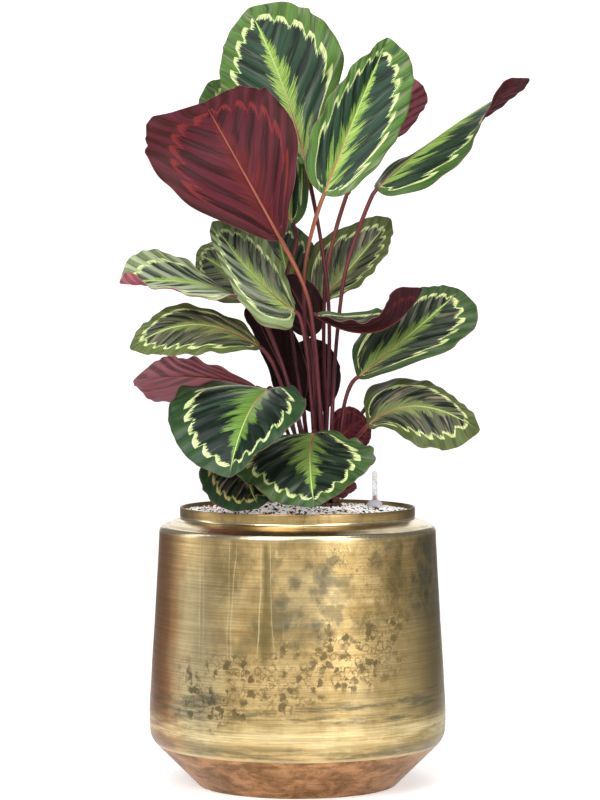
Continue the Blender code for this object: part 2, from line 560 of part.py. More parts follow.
def build_stalk(leaf, group, material):
    """A stalk: a thick sheath at the crown, a slim middle and a swollen joint below the blade."""
    name = "stalk_" + leaf.name
    route = stalk_route(leaf)
    curve = bpy.data.curves.new(name, "CURVE")
    curve.dimensions = "3D"
    curve.bevel_depth = 1.0
    curve.bevel_resolution = 1
    curve.use_fill_caps = True
    spline = curve.splines.new("POLY")
    spline.points.add(len(route) - 1)
    last = len(route) - 1
    for i, point in enumerate(route):
        share = i / last
        radius = STALK_FOOT_RADIUS + (STALK_RADIUS - STALK_FOOT_RADIUS) * min(1.0, share / 0.55)
        if share > 0.85:
            radius = STALK_JOINT_RADIUS
        spline.points[i].co = (*point, 1.0)
        spline.points[i].radius = radius
    return add_object(name, curve, group, material)


# ---------------------------------------------------------------- everything together
def build():
    clear_scene()
    group = make_collection("potted_calathea")
    cutters = make_collection("cutters")

    brass = make_material("aged_brass", (0.52, 0.36, 0.14), 0.38, 1.0)
    stones = make_material("mineral_granulate", (0.62, 0.55, 0.48), 0.9)
    plastic = make_material("culture_pot_plastic", (0.03, 0.03, 0.03), 0.5)
    roots = make_material("roots", (0.32, 0.22, 0.13), 0.9)
    clear = make_material("clear_plastic", (0.85, 0.87, 0.90), 0.15)
    red = make_material("float_red", (0.55, 0.03, 0.02), 0.4)
    green = make_material("leaf_green", (0.05, 0.14, 0.05), 0.45)
    maroon = make_material("stalk_maroon", (0.12, 0.02, 0.03), 0.45)

    build_planter(group, brass)
    build_granulate_fill(group, cutters, stones)
    build_culture_pot(group, cutters, plastic)
    build_root_ball(group, cutters, roots)
    build_top_dressing(group, cutters, stones)
    build_gauge(group, clear, red)

    for leaf in LEAVES:
        build_blade(leaf, group, green)
        build_stalk(leaf, group, maroon)


build()
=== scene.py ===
# %% [markdown]
# # Potted rose-painted calathea
# A calathea carries each patterned blade on its own slim stalk, and all the stalks rise from one
# crown.  This one grows in mineral granulate, in a spun and aged brass planter with a float gauge.
# The solid model gives every piece its place.  Here each piece gets its real surface.

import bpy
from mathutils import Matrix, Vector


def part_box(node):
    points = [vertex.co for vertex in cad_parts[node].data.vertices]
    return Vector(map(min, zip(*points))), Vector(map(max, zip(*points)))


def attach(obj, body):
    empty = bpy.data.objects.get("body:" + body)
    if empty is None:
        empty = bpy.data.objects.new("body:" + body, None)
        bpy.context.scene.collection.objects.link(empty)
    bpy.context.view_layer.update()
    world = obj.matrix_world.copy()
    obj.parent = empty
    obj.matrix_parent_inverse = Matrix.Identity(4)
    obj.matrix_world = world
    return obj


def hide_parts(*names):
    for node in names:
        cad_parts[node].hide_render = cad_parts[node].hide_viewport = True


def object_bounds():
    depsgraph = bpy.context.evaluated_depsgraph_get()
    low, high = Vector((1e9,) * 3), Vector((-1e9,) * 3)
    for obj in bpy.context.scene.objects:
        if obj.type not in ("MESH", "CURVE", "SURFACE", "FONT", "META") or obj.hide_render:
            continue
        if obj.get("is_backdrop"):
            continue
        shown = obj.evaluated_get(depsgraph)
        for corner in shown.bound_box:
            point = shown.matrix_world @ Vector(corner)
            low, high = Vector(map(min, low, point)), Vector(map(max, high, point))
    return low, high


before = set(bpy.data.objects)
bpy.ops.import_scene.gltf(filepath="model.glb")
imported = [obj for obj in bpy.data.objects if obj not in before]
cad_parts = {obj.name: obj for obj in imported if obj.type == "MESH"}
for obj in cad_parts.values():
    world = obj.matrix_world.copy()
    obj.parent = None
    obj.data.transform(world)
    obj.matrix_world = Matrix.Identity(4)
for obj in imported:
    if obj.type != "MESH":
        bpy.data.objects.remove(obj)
cad_low, cad_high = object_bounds()
print("solid model from", [round(x, 3) for x in cad_low], "to", [round(x, 3) for x in cad_high])

# %% Tools for the whole script
from collections import namedtuple
from math import cos, pi, radians, sin, tau

import bpy
import numpy as np
from mathutils import Vector

print("Blender", bpy.app.version_string, "and numpy", np.__version__)

# %% [markdown]
# ## Camera
# A long lens keeps the tall plant free of distortion.  It stands a little above the middle of the
# plant and looks slightly down, so that the granulate in the planter's mouth just shows.

# %% Camera
CAMERA_PLACE = (0.0030, -3.6, 0.5915)
CAMERA_TILT = 1.93
CAMERA_LENS = 132.5

bpy.ops.object.select_all(action="DESELECT")
bpy.ops.object.camera_add(location=CAMERA_PLACE, rotation=(radians(90 - CAMERA_TILT), 0, 0))
camera = bpy.context.object
camera.data.lens = CAMERA_LENS
camera.data.sensor_width = 36
camera.data.clip_end = 50
bpy.context.scene.camera = camera
print("camera at", CAMERA_PLACE, "with a lens of", CAMERA_LENS, "mm")

# %% [markdown]
# ## Studio
# Brass shows what stands round it, so large soft boxes light it: one at the front left, a weaker
# one at the front right, a broad one overhead and a faint one at the left edge.  A single hard lamp
# would leave a small hot spot on the metal.  The pale floor sweeps up behind the plant, which is
# why no horizon shows, and it glows a little so that the ground stays white.

# %% Floor that sweeps up behind the plant
FLOOR_HALF = 4.0
BACKDROP_HEIGHT = 5.0
SWEEP_ROUNDING = 1.5
FLOOR_GLOW = 0.45

bpy.ops.object.select_all(action="DESELECT")
bpy.ops.mesh.primitive_plane_add(size=2 * FLOOR_HALF, location=(0, 0, 0))
floor = bpy.context.object
floor.name = "studio_floor"
bpy.ops.object.mode_set(mode="EDIT")
bpy.ops.mesh.select_mode(type="EDGE")
bpy.ops.mesh.select_all(action="DESELECT")
bpy.ops.object.mode_set(mode="OBJECT")
for edge in floor.data.edges:
    ends = [floor.data.vertices[i].co for i in edge.vertices]
    edge.select = all(end.y > 0 for end in ends)
bpy.ops.object.mode_set(mode="EDIT")
bpy.ops.mesh.extrude_edges_move(TRANSFORM_OT_translate={"value": (0, 0, BACKDROP_HEIGHT)})
bpy.ops.mesh.select_all(action="SELECT")
bpy.ops.mesh.normals_make_consistent(inside=False)
bpy.ops.object.mode_set(mode="OBJECT")
sweep = floor.modifiers.new("sweep", "BEVEL")
sweep.width = SWEEP_ROUNDING
sweep.segments = 16
bpy.ops.object.modifier_apply(modifier="sweep")
bpy.ops.object.shade_smooth()
pale = bpy.data.materials.new("studio_paper")
pale.use_nodes = True
paper = pale.node_tree.nodes["Principled BSDF"].inputs
paper["Base Color"].default_value = (0.93, 0.93, 0.93, 1)
paper["Roughness"].default_value = 0.9
paper["Emission Color"].default_value = (1, 1, 1, 1)
paper["Emission Strength"].default_value = FLOOR_GLOW
floor.data.materials.append(pale)
floor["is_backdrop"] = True
print("floor faces", len(floor.data.polygons))

# %% Soft boxes
SoftBox = namedtuple("SoftBox", "name place aim width height power colour")
SOFT_BOXES = [
    SoftBox("key", (-1.5, -3.0, 2.3), (0, 0, 0.5), 2.0, 1.8, 84, (1.0, 0.99, 0.97)),
    SoftBox("fill", (1.9, -2.8, 1.3), (0, 0, 0.4), 1.4, 1.8, 50, (1.0, 1.0, 1.0)),
    SoftBox("overhead", (0.1, -1.4, 2.7), (0, 0, 0.4), 2.8, 2.0, 64, (0.97, 0.99, 1.0)),
    SoftBox("left_rim", (-2.3, 0.3, 1.0), (0, 0, 0.4), 0.5, 2.0, 9, (0.95, 0.98, 1.0)),
]
for box in SOFT_BOXES:
    bpy.ops.object.light_add(type="AREA", location=box.place)
    lamp = bpy.context.object
    lamp.name = "soft_box_" + box.name
    aim = Vector(box.aim) - Vector(box.place)
    lamp.rotation_euler = aim.to_track_quat("-Z", "Y").to_euler()
    lamp.data.shape = "RECTANGLE"
    lamp.data.size = box.width
    lamp.data.size_y = box.height
    lamp.data.energy = box.power
    lamp.data.color = box.colour

print("soft boxes", len(SOFT_BOXES))

# %% [markdown]
# ### Cards and sky
# Round metal looks round when its edges are darker than its middle.  Grey cards stand behind the
# plant on both sides, out of view, and the brass mirrors them there.  Darker metal at the edges
# would do it from one side only.  A pale sky fills what no soft box reaches.

# %% Cards and sky
grey = bpy.data.materials.new("studio_black")
grey.use_nodes = True
grey.node_tree.nodes["Principled BSDF"].inputs["Base Color"].default_value = (0.22, 0.22, 0.22, 1)
for side in (-1, 1):
    bpy.ops.object.select_all(action="DESELECT")
    bpy.ops.mesh.primitive_plane_add(size=1, location=(side * 0.66, 1.15, 0.55))
    card = bpy.context.object
    card.name = "studio_card_right" if side > 0 else "studio_card_left"
    card.dimensions = (2.0, 1.1, 0)
    card.rotation_euler = (radians(90), 0, radians(90 - side * 4))
    card.data.materials.append(grey)
    card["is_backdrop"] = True

sky = bpy.data.worlds.new("studio")
bpy.context.scene.world = sky
sky.use_nodes = True
sky.node_tree.nodes["Background"].inputs["Color"].default_value = (1.0, 1.0, 1.0, 1)
sky.node_tree.nodes["Background"].inputs["Strength"].default_value = 0.23
bpy.context.scene.view_settings.view_transform = "Standard"
print("sky strength", round(sky.node_tree.nodes["Background"].inputs["Strength"].default_value, 2))

# %% [markdown]
# ## Helpers for materials
# A material here is a sum of masks.  Each mask is a number that changes over the surface, and a
# small class lets such numbers be added and multiplied like any other, which keeps long chains of
# Math nodes readable.


# %% Numbers that change over a surface
class Value:
    """A node socket that holds a number, with + - * and a few more sums."""

    def __init__(self, socket):
        self.socket = socket
        self.tree = socket.id_data

    def sum(self, operation, *others):
        """A Math node's result for this number and others."""
        node = self.tree.nodes.new("ShaderNodeMath")
        node.operation = operation
        for part, socket in zip((self, *others), node.inputs):
            plug(part, socket)
        return Value(node.outputs[0])

    def __add__(self, other):
        return self.sum("ADD", other)

    def __sub__(self, other):
        return self.sum("SUBTRACT", other)

    def __mul__(self, other):
        return self.sum("MULTIPLY", other)

    def flip(self):
        """1 minus the number."""
        return self.sum("MULTIPLY_ADD", -1.0, 1.0)

    def step(self, low, high):
        """0 below low and 1 above high, with a soft way between."""
        node = self.tree.nodes.new("ShaderNodeMapRange")
        node.interpolation_type = "SMOOTHSTEP"
        for part, socket in zip((self, low, high), node.inputs):
            plug(part, socket)
        return Value(node.outputs[0])


def plug(part, socket):
    """Links a Value or a socket, or writes a plain number or colour on the socket itself."""
    if isinstance(part, Value):
        part = part.socket
    if isinstance(part, bpy.types.NodeSocket):
        socket.id_data.links.new(part, socket)
    else:
        socket.default_value = part


def fill(node, **parts):
    """Plugs parts into a node's inputs by their names, with _ for a space."""
    for name, part in parts.items():
        plug(part, node.inputs[name.replace("_", " ")])


print("sums of numbers:", [name for name in vars(Value) if name[0] != "_"])


# %% Paints and noise
def paint(red, green, blue):
    """A colour written as a painter's 0 to 255 values, turned into the light values nodes use."""
    shares = [part / 255 for part in (red, green, blue)]
    return (*[x / 12.92 if x < 0.04045 else ((x + 0.055) / 1.055) ** 2.4 for x in shares], 1.0)


def blend(share, first, second):
    """Mixes two colours by a share that changes over the surface."""
    node = share.tree.nodes.new("ShaderNodeMix")
    node.data_type = "RGBA"
    plug(share, node.inputs[0])
    plug(first, node.inputs[6])
    plug(second, node.inputs[7])
    return node.outputs[2]


def layers(ground, *coats):
    """Coats of paint over a ground colour, each laid on through its own mask."""
    for mask, coat in coats:
        ground = blend(mask, ground, coat)
    return ground


def cloud(place, scale, detail=3.0, roughness=0.5, warp=0.0):
    """Soft noise from about 0.25 to 0.75."""
    node = place.id_data.nodes.new("ShaderNodeTexNoise")
    fill(node, Vector=place, Scale=scale, Detail=detail, Roughness=roughness, Distortion=warp)
    return Value(node.outputs[0])


def own_place(tree, stretch=(1.0, 1.0, 1.0)):
    """The place on the object in metres, stretched along its axes."""
    place = tree.nodes.new("ShaderNodeTexCoord")
    mapping = tree.nodes.new("ShaderNodeMapping")
    fill(mapping, Vector=place.outputs["Object"], Scale=stretch)
    return mapping.outputs[0]


print("a mid brown is", [round(x, 3) for x in paint(128, 96, 64)[:3]], "in light values")


# %% Materials
def relief(height, distance):
    """A normal bent by a height, with its depth in metres."""
    node = height.tree.nodes.new("ShaderNodeBump")
    fill(node, Height=height, Distance=distance, Strength=1.0)
    return node.outputs["Normal"]


def new_material(name, **plain):
    """A material and its shader; plain values such as Metallic=1.0 go on the shader's sockets."""
    material = bpy.data.materials.new(name)
    material.use_nodes = True
    shader = material.node_tree.nodes["Principled BSDF"]
    fill(shader, **plain)
    return material, material.node_tree, shader


print("materials so far:", [material.name for material in bpy.data.materials])

# %% [markdown]
# ## Helpers for pieces
# Round pieces are turned: a profile is drawn from one point by extruding it, and spun.  Cylinders
# set on one another would show a seam at every step.  A finished piece is handed over with its
# materials, and the solid that it stands for is hidden.


# %% Hand over
def hand_over(piece, slot, materials, *nodes):
    """Gives a finished piece its materials and its place on the model, and hides the nodes it
    stands for.
    """
    for i, material in enumerate(materials):
        if i < len(piece.data.materials):
            piece.data.materials[i] = material
        else:
            piece.data.materials.append(material)
    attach(piece, "root")
    if nodes:
        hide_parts(*nodes)


print("the solid model has", len(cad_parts), "nodes to stand for")


# %% Turned pieces
def arc(middle_r, middle_z, radius, start, end, count):
    """Points of a round stretch of a profile, by its start and end angles in degrees."""
    angles = [radians(start + (end - start) * i / count) for i in range(count + 1)]
    return [(middle_r + radius * cos(a), middle_z + radius * sin(a)) for a in angles]


def turn(name, profile, steps, at=(0.0, 0.0)):
    """Draws a profile of (radius, height) points by extruding one point, and spins it round."""
    bpy.ops.object.select_all(action="DESELECT")
    bpy.ops.mesh.primitive_circle_add(vertices=3, radius=0.001, location=(0, 0, 0))
    piece = bpy.context.object
    piece.name = name
    bpy.ops.object.mode_set(mode="EDIT")
    bpy.ops.mesh.select_mode(type="VERT")
    bpy.ops.mesh.select_all(action="SELECT")
    bpy.ops.mesh.merge(type="CENTER")
    bpy.ops.transform.translate(value=(profile[0][0], 0, profile[0][1]))
    for (r, z), (last_r, last_z) in zip(profile[1:], profile):
        bpy.ops.mesh.extrude_vertices_move(
            TRANSFORM_OT_translate={"value": (r - last_r, 0, z - last_z)})
    bpy.ops.mesh.select_all(action="SELECT")
    bpy.ops.mesh.spin(steps=steps, angle=tau, center=(0, 0, 0), axis=(0, 0, 1))
    bpy.ops.mesh.select_all(action="SELECT")
    bpy.ops.mesh.remove_doubles(threshold=0.00002)
    bpy.ops.mesh.normals_make_consistent(inside=False)
    bpy.ops.transform.translate(value=(at[0], at[1], 0))
    bpy.ops.object.mode_set(mode="OBJECT")
    bpy.ops.object.shade_smooth_by_angle(angle=radians(40))
    return piece


print("a quarter round in two steps has", len(arc(0, 0, 1, 0, 90, 2)), "points")

# %% [markdown]
# ## Planter
# The planter is spun from brass sheet on a lathe.  It could be cut from a cylinder ring by ring,
# but a spun pot is a turned profile, so the profile is drawn once and spun.  The side ends in a
# thin lip over the conical foot, the shoulder is rounded, and the neck has a rolled rim.

# %% Planter profile
PLANTER_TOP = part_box("planter")[1].z
RIM = 0.144
WALL = 0.0022
SHOULDER = (0.1692, 0.3110, 0.007)      # outer radius, height and rounding
FOOT_BEND = (0.1808, 0.0692, 0.024)
CONE = (0.1725, 0.0508)                 # radius and height of the cone's upper edge
BASE = 0.1212
STEPS_ROUND = 160

outside = arc(RIM - 0.0011, PLANTER_TOP - 0.0011, 0.0011, 90, 0, 4)
outside += [(RIM, 0.3345), (RIM - 0.0002, 0.3300)]
outside += arc(RIM + 0.0030, 0.3285, 0.0032, 180, 248, 5)
outside += [(0.1500, 0.3242), (0.1560, 0.3219), (0.1610, 0.3196)]
outside += arc(SHOULDER[0] - SHOULDER[2], SHOULDER[1], SHOULDER[2], 72, 3, 7)
outside += [(0.1696, 0.3000), (0.1717, 0.2600), (0.1735, 0.2300), (0.1751, 0.2000)]
outside += [(0.1768, 0.1750), (0.1784, 0.1500), (0.1797, 0.1250), (0.1808, 0.1080)]
outside += [(0.1815, 0.0920), (0.1815, 0.0790)]
outside += arc(FOOT_BEND[0] - FOOT_BEND[2], FOOT_BEND[1], FOOT_BEND[2], 0, -44, 8)
outside += [(CONE[0] + 0.0009, CONE[1] + 0.0009), (CONE[0] + 0.0002, CONE[1] + 0.0005), CONE]
for i in range(1, 8):
    share = i / 8
    outside.append((CONE[0] + (BASE + 0.0012 - CONE[0]) * share,
                    CONE[1] + (0.0012 - CONE[1]) * share))
outside += [(BASE + 0.0012, 0.0012), (BASE + 0.0003, 0.0002), (BASE - 0.0010, 0.0)]
inside = [(0.0, 0.003), (BASE - 0.0015, 0.003), (CONE[0] - 0.0036, CONE[1] + 0.0009)]
inside += [(0.1778, 0.0692), (0.1785, 0.092), (0.1662, 0.308), (0.1620, 0.3140), (0.1425, 0.3225)]
inside += [(RIM - WALL, 0.3260), (RIM - WALL, PLANTER_TOP - 0.0010)]
inside += [(RIM - WALL + 0.0008, PLANTER_TOP)]
planter = turn("brass_planter", inside + outside + [(0.0, 0.0)], STEPS_ROUND)
print("planter", len(planter.data.polygons), "faces, radius", round(max(r for r, z in outside), 4))

# %% [markdown]
# ### Aged brass
# The metal was brushed round the pot, then stained: the acid ran down in drips and dried with dark
# edges.  Brushing is noise squeezed in height.  The paints go on one after another, each through
# its own mask, as the stains did.  The masks use the height and the place on the pot, because the
# stains lie in zones, and a single noise would spread them evenly.  The place on the pot also sets
# painted reflections at its sides and painted highlights on its shoulder and lip.

# %% Brushing and wear
brass, tree, shader = new_material("aged_brass", Metallic=1.0)
place = own_place(tree)
xyz = tree.nodes.new("ShaderNodeSeparateXYZ")
plug(place, xyz.inputs[0])
left_right, front_back, height = [Value(socket) for socket in xyz.outputs]

brush = cloud(own_place(tree, (9, 9, 620)), 1.0, 4, 0.75)
brush_wide = cloud(own_place(tree, (4, 4, 150)), 1.0, 4, 0.7)
broad = cloud(own_place(tree, (1, 1, 0.6)), 11, 4, 0.6)
wear = cloud(own_place(tree, (1, 1, 0.5)), 30, 4, 0.65)
grain = cloud(place, 420, 3, 0.6)
across = left_right + (broad - 0.5) * 0.05
print("noises that the brass shares:", sum(node.type == "TEX_NOISE" for node in tree.nodes))


# %% Drops
def drops(scale, push):
    """Rounded drops: the distance from each one's middle, and a number of its own."""
    warp = tree.nodes.new("ShaderNodeTexNoise")
    fill(warp, Vector=place, Scale=scale * 1.2, Detail=5, Roughness=0.6)
    shove = tree.nodes.new("ShaderNodeVectorMath")
    shove.operation = "MULTIPLY_ADD"
    for part, socket in zip((warp.outputs["Color"], (push, push, push), place), shove.inputs):
        plug(part, socket)
    cells = tree.nodes.new("ShaderNodeTexVoronoi")
    fill(cells, Vector=shove.outputs[0], Scale=scale)
    luck = tree.nodes.new("ShaderNodeSeparateXYZ")
    plug(cells.outputs["Color"], luck.inputs[0])
    return Value(cells.outputs["Distance"]), Value(luck.outputs[0])


print("nodes before the first paint:", len(tree.nodes))

# %% Broad fields of colour and painted reflections at the sides
# painted reflections: the olive field darkens the right edge, the brown field darkens the left edge
# of the front, and the grey-blue band runs down the left side
olive_edge_reflection = across.step(0.095, 0.165)
grey_reflection_band = across.step(-0.160, -0.135) * across.step(-0.075, -0.110) * height.step(0.33, 0.24)
brown_edge_reflection = across.step(-0.125, -0.165) * (front_back + (wear - 0.5) * 0.10).step(0.06, -0.03)
gold = layers(
    blend(brush_wide.step(0.25, 0.75), paint(186, 156, 102), paint(232, 203, 144)),
    (wear.step(0.40, 0.66) * 0.55, paint(146, 124, 78)),
    (broad.step(0.50, 0.66) * 0.55, paint(226, 204, 154)),
    (olive_edge_reflection * 0.8, paint(132, 116, 72)),
    (grey_reflection_band * 0.5, paint(136, 134, 114)),
    (brown_edge_reflection * 0.9, paint(164, 104, 62)),
)
print("nodes with the broad fields:", len(tree.nodes))

# %% Shoulder and neck
# the shoulder is painted bright, a painted highlight of the lamps above, and the neck above it is
# darker and dirty
on_shoulder = height.step(0.308, 0.315) * height.step(0.3300, 0.3280)
neck = height.step(0.3280, 0.3300)
dirt = cloud(own_place(tree, (1, 1, 0.6)), 75, 5, 0.7)
gold = layers(
    gold,
    (on_shoulder * 0.95, blend(wear, paint(252, 240, 208), paint(232, 208, 160))),
    (neck * 0.8, blend(wear, paint(186, 158, 104), paint(126, 102, 60))),
    (neck * dirt.step(0.50, 0.66) * 0.5, paint(92, 84, 62)),
)
print("nodes with the neck:", len(tree.nodes))

# %% [markdown]
# ### Stains
# Stain pools high up in soft dark clouds and single spots, and runs down from there.  Thin pale
# lines stand beside the runs where the metal stayed clean.  A run is noise drawn out in height,
# and a thin line is the place where that noise passes through its middle value.

# %% Pools and spots high up
stain = blend(broad.step(0.35, 0.65), paint(96, 88, 56), paint(78, 84, 76))
pools = cloud(own_place(tree, (1, 1, 0.7)), 24, 4, 0.62, 0.3) + (brush_wide - 0.5) * 0.3
pool_field = (height + left_right * -0.20).step(0.165, 0.21) * height.step(0.325, 0.29)
pool_mask = pools.step(0.42, 0.68) * pool_field * across.step(-0.12, -0.06)
spot, spot_luck = drops(58, 0.022)
spot_mask = (spot + (wear - 0.5) * 1.3).step(0.70, 0.22) * spot_luck.step(0.22, 0.36)
spot_mask = spot_mask * pool_field * across.step(-0.08, 0.0) * broad.step(0.34, 0.46)
spot_mask = spot_mask * (brush_wide * 0.5 + 0.4)
gold = layers(gold, (pool_mask * 0.8, stain), (spot_mask, stain))
print("nodes with the pools:", len(tree.nodes))

# %% Runs
runs = cloud(own_place(tree, (1, 1, 0.05)), 30, 3, 0.5)
run_field = height.step(0.14, 0.20) * height.step(0.314, 0.300)
run_field = run_field * across.step(0.0, -0.04) * across.step(-0.13, -0.10)
pale_run = (runs - 0.5).sum("ABSOLUTE").step(0.012, 0.002) * run_field
gold = layers(
    gold,
    (runs.step(0.50, 0.60) * run_field * 0.75, paint(104, 94, 58)),
    (pale_run * 0.6, paint(232, 216, 172)),
)
print("nodes with the runs:", len(tree.nodes))

# %% [markdown]
# ### Belt of dried drops
# A belt of small drops slants across the middle of the side.  Each dried with a dark outline, and
# some are dark all over.  The outline is a ring at one distance from the middle of a cell, and
# finer lace between the drops is the contour line of a cloud.

# %% Belt of dried drops
belt_middle = left_right * 0.24 + 0.155
from_belt = (height - belt_middle).sum("ABSOLUTE") + (wear - 0.5) * 0.07
belt = from_belt.step(0.056, 0.028) * across.step(0.150, 0.10) * across.step(-0.15, -0.12)
drop, drop_luck = drops(108, 0.014)
rim = (drop - drop_luck * 0.14 - 0.38).sum("ABSOLUTE").step(0.15, 0.02)
inside_drop = (drop - drop_luck * 0.14 - 0.38).step(0.06, -0.16) * drop_luck.step(0.62, 0.70)
clumps = cloud(place, 40, 3, 0.6)
lace = (cloud(place, 62, 4, 0.6, 0.5) - 0.5).sum("ABSOLUTE").step(0.022, 0.004)
crust = (rim * 0.7 + inside_drop + lace * 0.55).sum("MINIMUM", 1.0) * clumps.step(0.36, 0.52) * belt
high_lace = lace * pool_field * across.step(-0.02, 0.05) * clumps.step(0.40, 0.56) * 0.7
crust = (crust + high_lace).sum("MINIMUM", 1.0)
crust_paint = blend(broad, paint(58, 50, 34), paint(80, 74, 56))
gold = blend(crust * (brush_wide * 0.4 + 0.62), gold, crust_paint)
print("nodes with the belt:", len(tree.nodes))

# %% [markdown]
# ### Foot of the planter
# Dark and light bands lie round the foot of the side, and the cone below it kept its copper skin.
# The same noise that breaks up the paints also changes the gloss and the relief, so that a stain
# looks dull and slightly raised, and not printed.

# %% Bands at the foot
low = height + (wear - 0.5) * 0.022
smear = cloud(own_place(tree, (1, 1, 7)), 12, 5, 0.7)
dark_band = low.step(0.140, 0.118) * low.step(0.088, 0.100) * smear.step(0.45, 0.62)
light_band = low.step(0.066, 0.076) * low.step(0.100, 0.084) * smear.step(0.64, 0.40)
dark_foot = low.step(0.076, 0.058) * smear.step(0.38, 0.58)
# the lip mask lays a painted highlight along the thin lip over the cone
lip = height.step(CONE[1] - 0.0002, CONE[1] + 0.0003) * height.step(0.0550, 0.0535)
gold = layers(
    gold,
    (dark_band * 0.75, stain),
    (light_band * 0.75, paint(232, 212, 162)),
    (dark_foot * 0.8, paint(84, 86, 72)),
    (brush.step(0.34, 0.66) * 0.46, paint(110, 88, 52)),
    (lip * 0.35, paint(232, 208, 160)),
)
print("nodes with the bands:", len(tree.nodes))

# %% Copper foot
mottle = cloud(own_place(tree, (1, 1, 2.2)), 30, 5, 0.72, 0.5)
copper = layers(
    blend(mottle.step(0.36, 0.64), paint(186, 140, 98), paint(116, 82, 48)),
    (brush.step(0.35, 0.65) * 0.25, paint(104, 76, 50)),
    (grain.step(0.4, 0.65) * 0.30, paint(112, 76, 48)),
)
on_foot = height.step(CONE[1] + 0.0001, CONE[1] - 0.0004)
fill(shader, Base_Color=blend(on_foot, gold, copper))
print("nodes with the copper:", len(tree.nodes))

# %% Gloss and relief of the metal
rough = brush * 0.16 + pool_mask * 0.08 + crust * 0.12 + on_foot * 0.06 + 0.28
rough = rough - on_shoulder * 0.13
hills = brush * 0.18 + broad + crust * 0.08 + grain * 0.04 + wear * 0.3
fill(shader, Roughness=rough, Normal=relief(hills, 0.0006))
hand_over(planter, "brass", [brass], "planter")
print("nodes in the aged brass:", len(tree.nodes))

# %% [markdown]
# ## Leaf table
# The plant has 26 blades of many shapes.  They could be modelled one by one, but a table keeps them
# easy to compare and to correct.  base, middle and tip are points on the midrib, and facing is
# where the upper side looks.  fold and curl shape the (left, right) halves, twist turns the blade
# on the way to its tip, sweep and heart draw its edges forward and back, and lean makes one half
# wider.  foot, bow and bend lead the stalk.  left and right widen or narrow a half: pairs of a
# place along the midrib and a share of the plain width there.  roll curls an edge in near the tip.

# %% Leaf table
Leaf = namedtuple(
    "Leaf",
    "name foot base middle tip facing half_width widest fold curl twist sweep heart lean bow bend"
    " left right roll",
    defaults=(0.50, (0, 0), (0, 0), 0, 0.10, 0.05, 0.0, None, 0.025, (), (), (0, 0)),
)
OUTER = 0.0220               # rings of stalks on the crown, by their radius
MIDDLE = 0.0135
INNER = 0.0055
print("numbers for each leaf:", len(Leaf._fields))

# %% Tall leaves
LEAVES = [
    Leaf("01", (INNER, 330), (0.010, 0.030, 0.760), (-0.020, 0.045, 0.862), (-0.060, 0.025, 0.950),
         (0.05, -1.0, 0.1), 0.074, 0.50, (8, 8), (-15, -15), sweep=0.0,
         bow=(0.038, 0.018, 0.590), left=((0.3, 1.0), (0.5, 1.0), (0.7, 1.05), (0.9, 1.0)),
         right=((0.15, 0.6), (0.3, 0.78), (0.5, 1.13), (0.7, 1.22), (0.9, 1.2))),
    Leaf("02", (INNER, 240), (0.032, -0.020, 0.720), (0.070, -0.015, 0.815), (0.110, -0.020, 0.910),
         (0.43, -0.88, -0.18), 0.062, 0.46, (24, 20), (-10, -10), heart=0.12,
         bow=(0.008, -0.004, 0.615),
         left=((0.1, 1.15), (0.4, 0.95), (0.6, 0.85), (0.8, 0.72), (0.9, 0.55)),
         right=((0.1, 0.75), (0.3, 0.84), (0.5, 0.95), (0.7, 1.03), (0.9, 1.25))),
    Leaf("03", (MIDDLE, 277), (-0.020, -0.055, 0.665), (-0.070, -0.085, 0.755),
         (-0.112, -0.040, 0.830), (0.1, 1.0, 0.0), 0.090, 0.53, (25, 0), (-10, -10), sweep=0.58,
         lean=0.06, bow=(0.016, -0.038, 0.580),
         left=((0.1, 0.6), (0.2, 0.8), (0.35, 1.0)),
         right=((0.1, 0.55), (0.2, 0.68), (0.35, 0.87), (0.7, 1.0), (0.82, 1.1), (0.92, 1.38),
                (0.97, 1.4))),
    Leaf("04", (MIDDLE, 345), (0.096, 0.000, 0.727), (0.182, -0.005, 0.800),
         (0.281, -0.020, 0.860), (-0.57, -0.28, 0.78), 0.068, 0.40, (-20, -20), twist=-17,
         sweep=0.0, bow=(0.0555, 0.003, 0.611), bend=0.004,
         right=((0.1, 0.7), (0.25, 0.92), (0.6, 1.12), (0.8, 1.05), (0.9, 0.65)), roll=(0, 230)),
    Leaf("05", (MIDDLE, 149), (-0.005, 0.055, 0.685), (-0.055, 0.075, 0.780),
         (-0.110, 0.070, 0.863), (0.0, -1.0, 0.1), 0.068, 0.48, (5, 5),
         bow=(-0.014, 0.045, 0.615), left=((0.5, 1.0), (0.7, 0.9), (0.9, 0.8)),
         right=((0.1, 0.75), (0.3, 0.88), (0.5, 1.0), (0.7, 0.95), (0.9, 0.8))),
    Leaf("06", (MIDDLE, 50), (0.060, 0.045, 0.720), (0.097, 0.070, 0.795), (0.153, 0.060, 0.860),
         (0.2, 1.0, 0.0), 0.050, 0.55, (65, 10), bow=(0.034, 0.028, 0.610),
         left=((0.1, 0.35), (0.4, 0.5), (0.6, 0.85), (0.8, 1.2)),
         right=((0.1, 0.35), (0.4, 0.5), (0.6, 0.85), (0.8, 1.2))),
]
print("leaves", len(LEAVES))

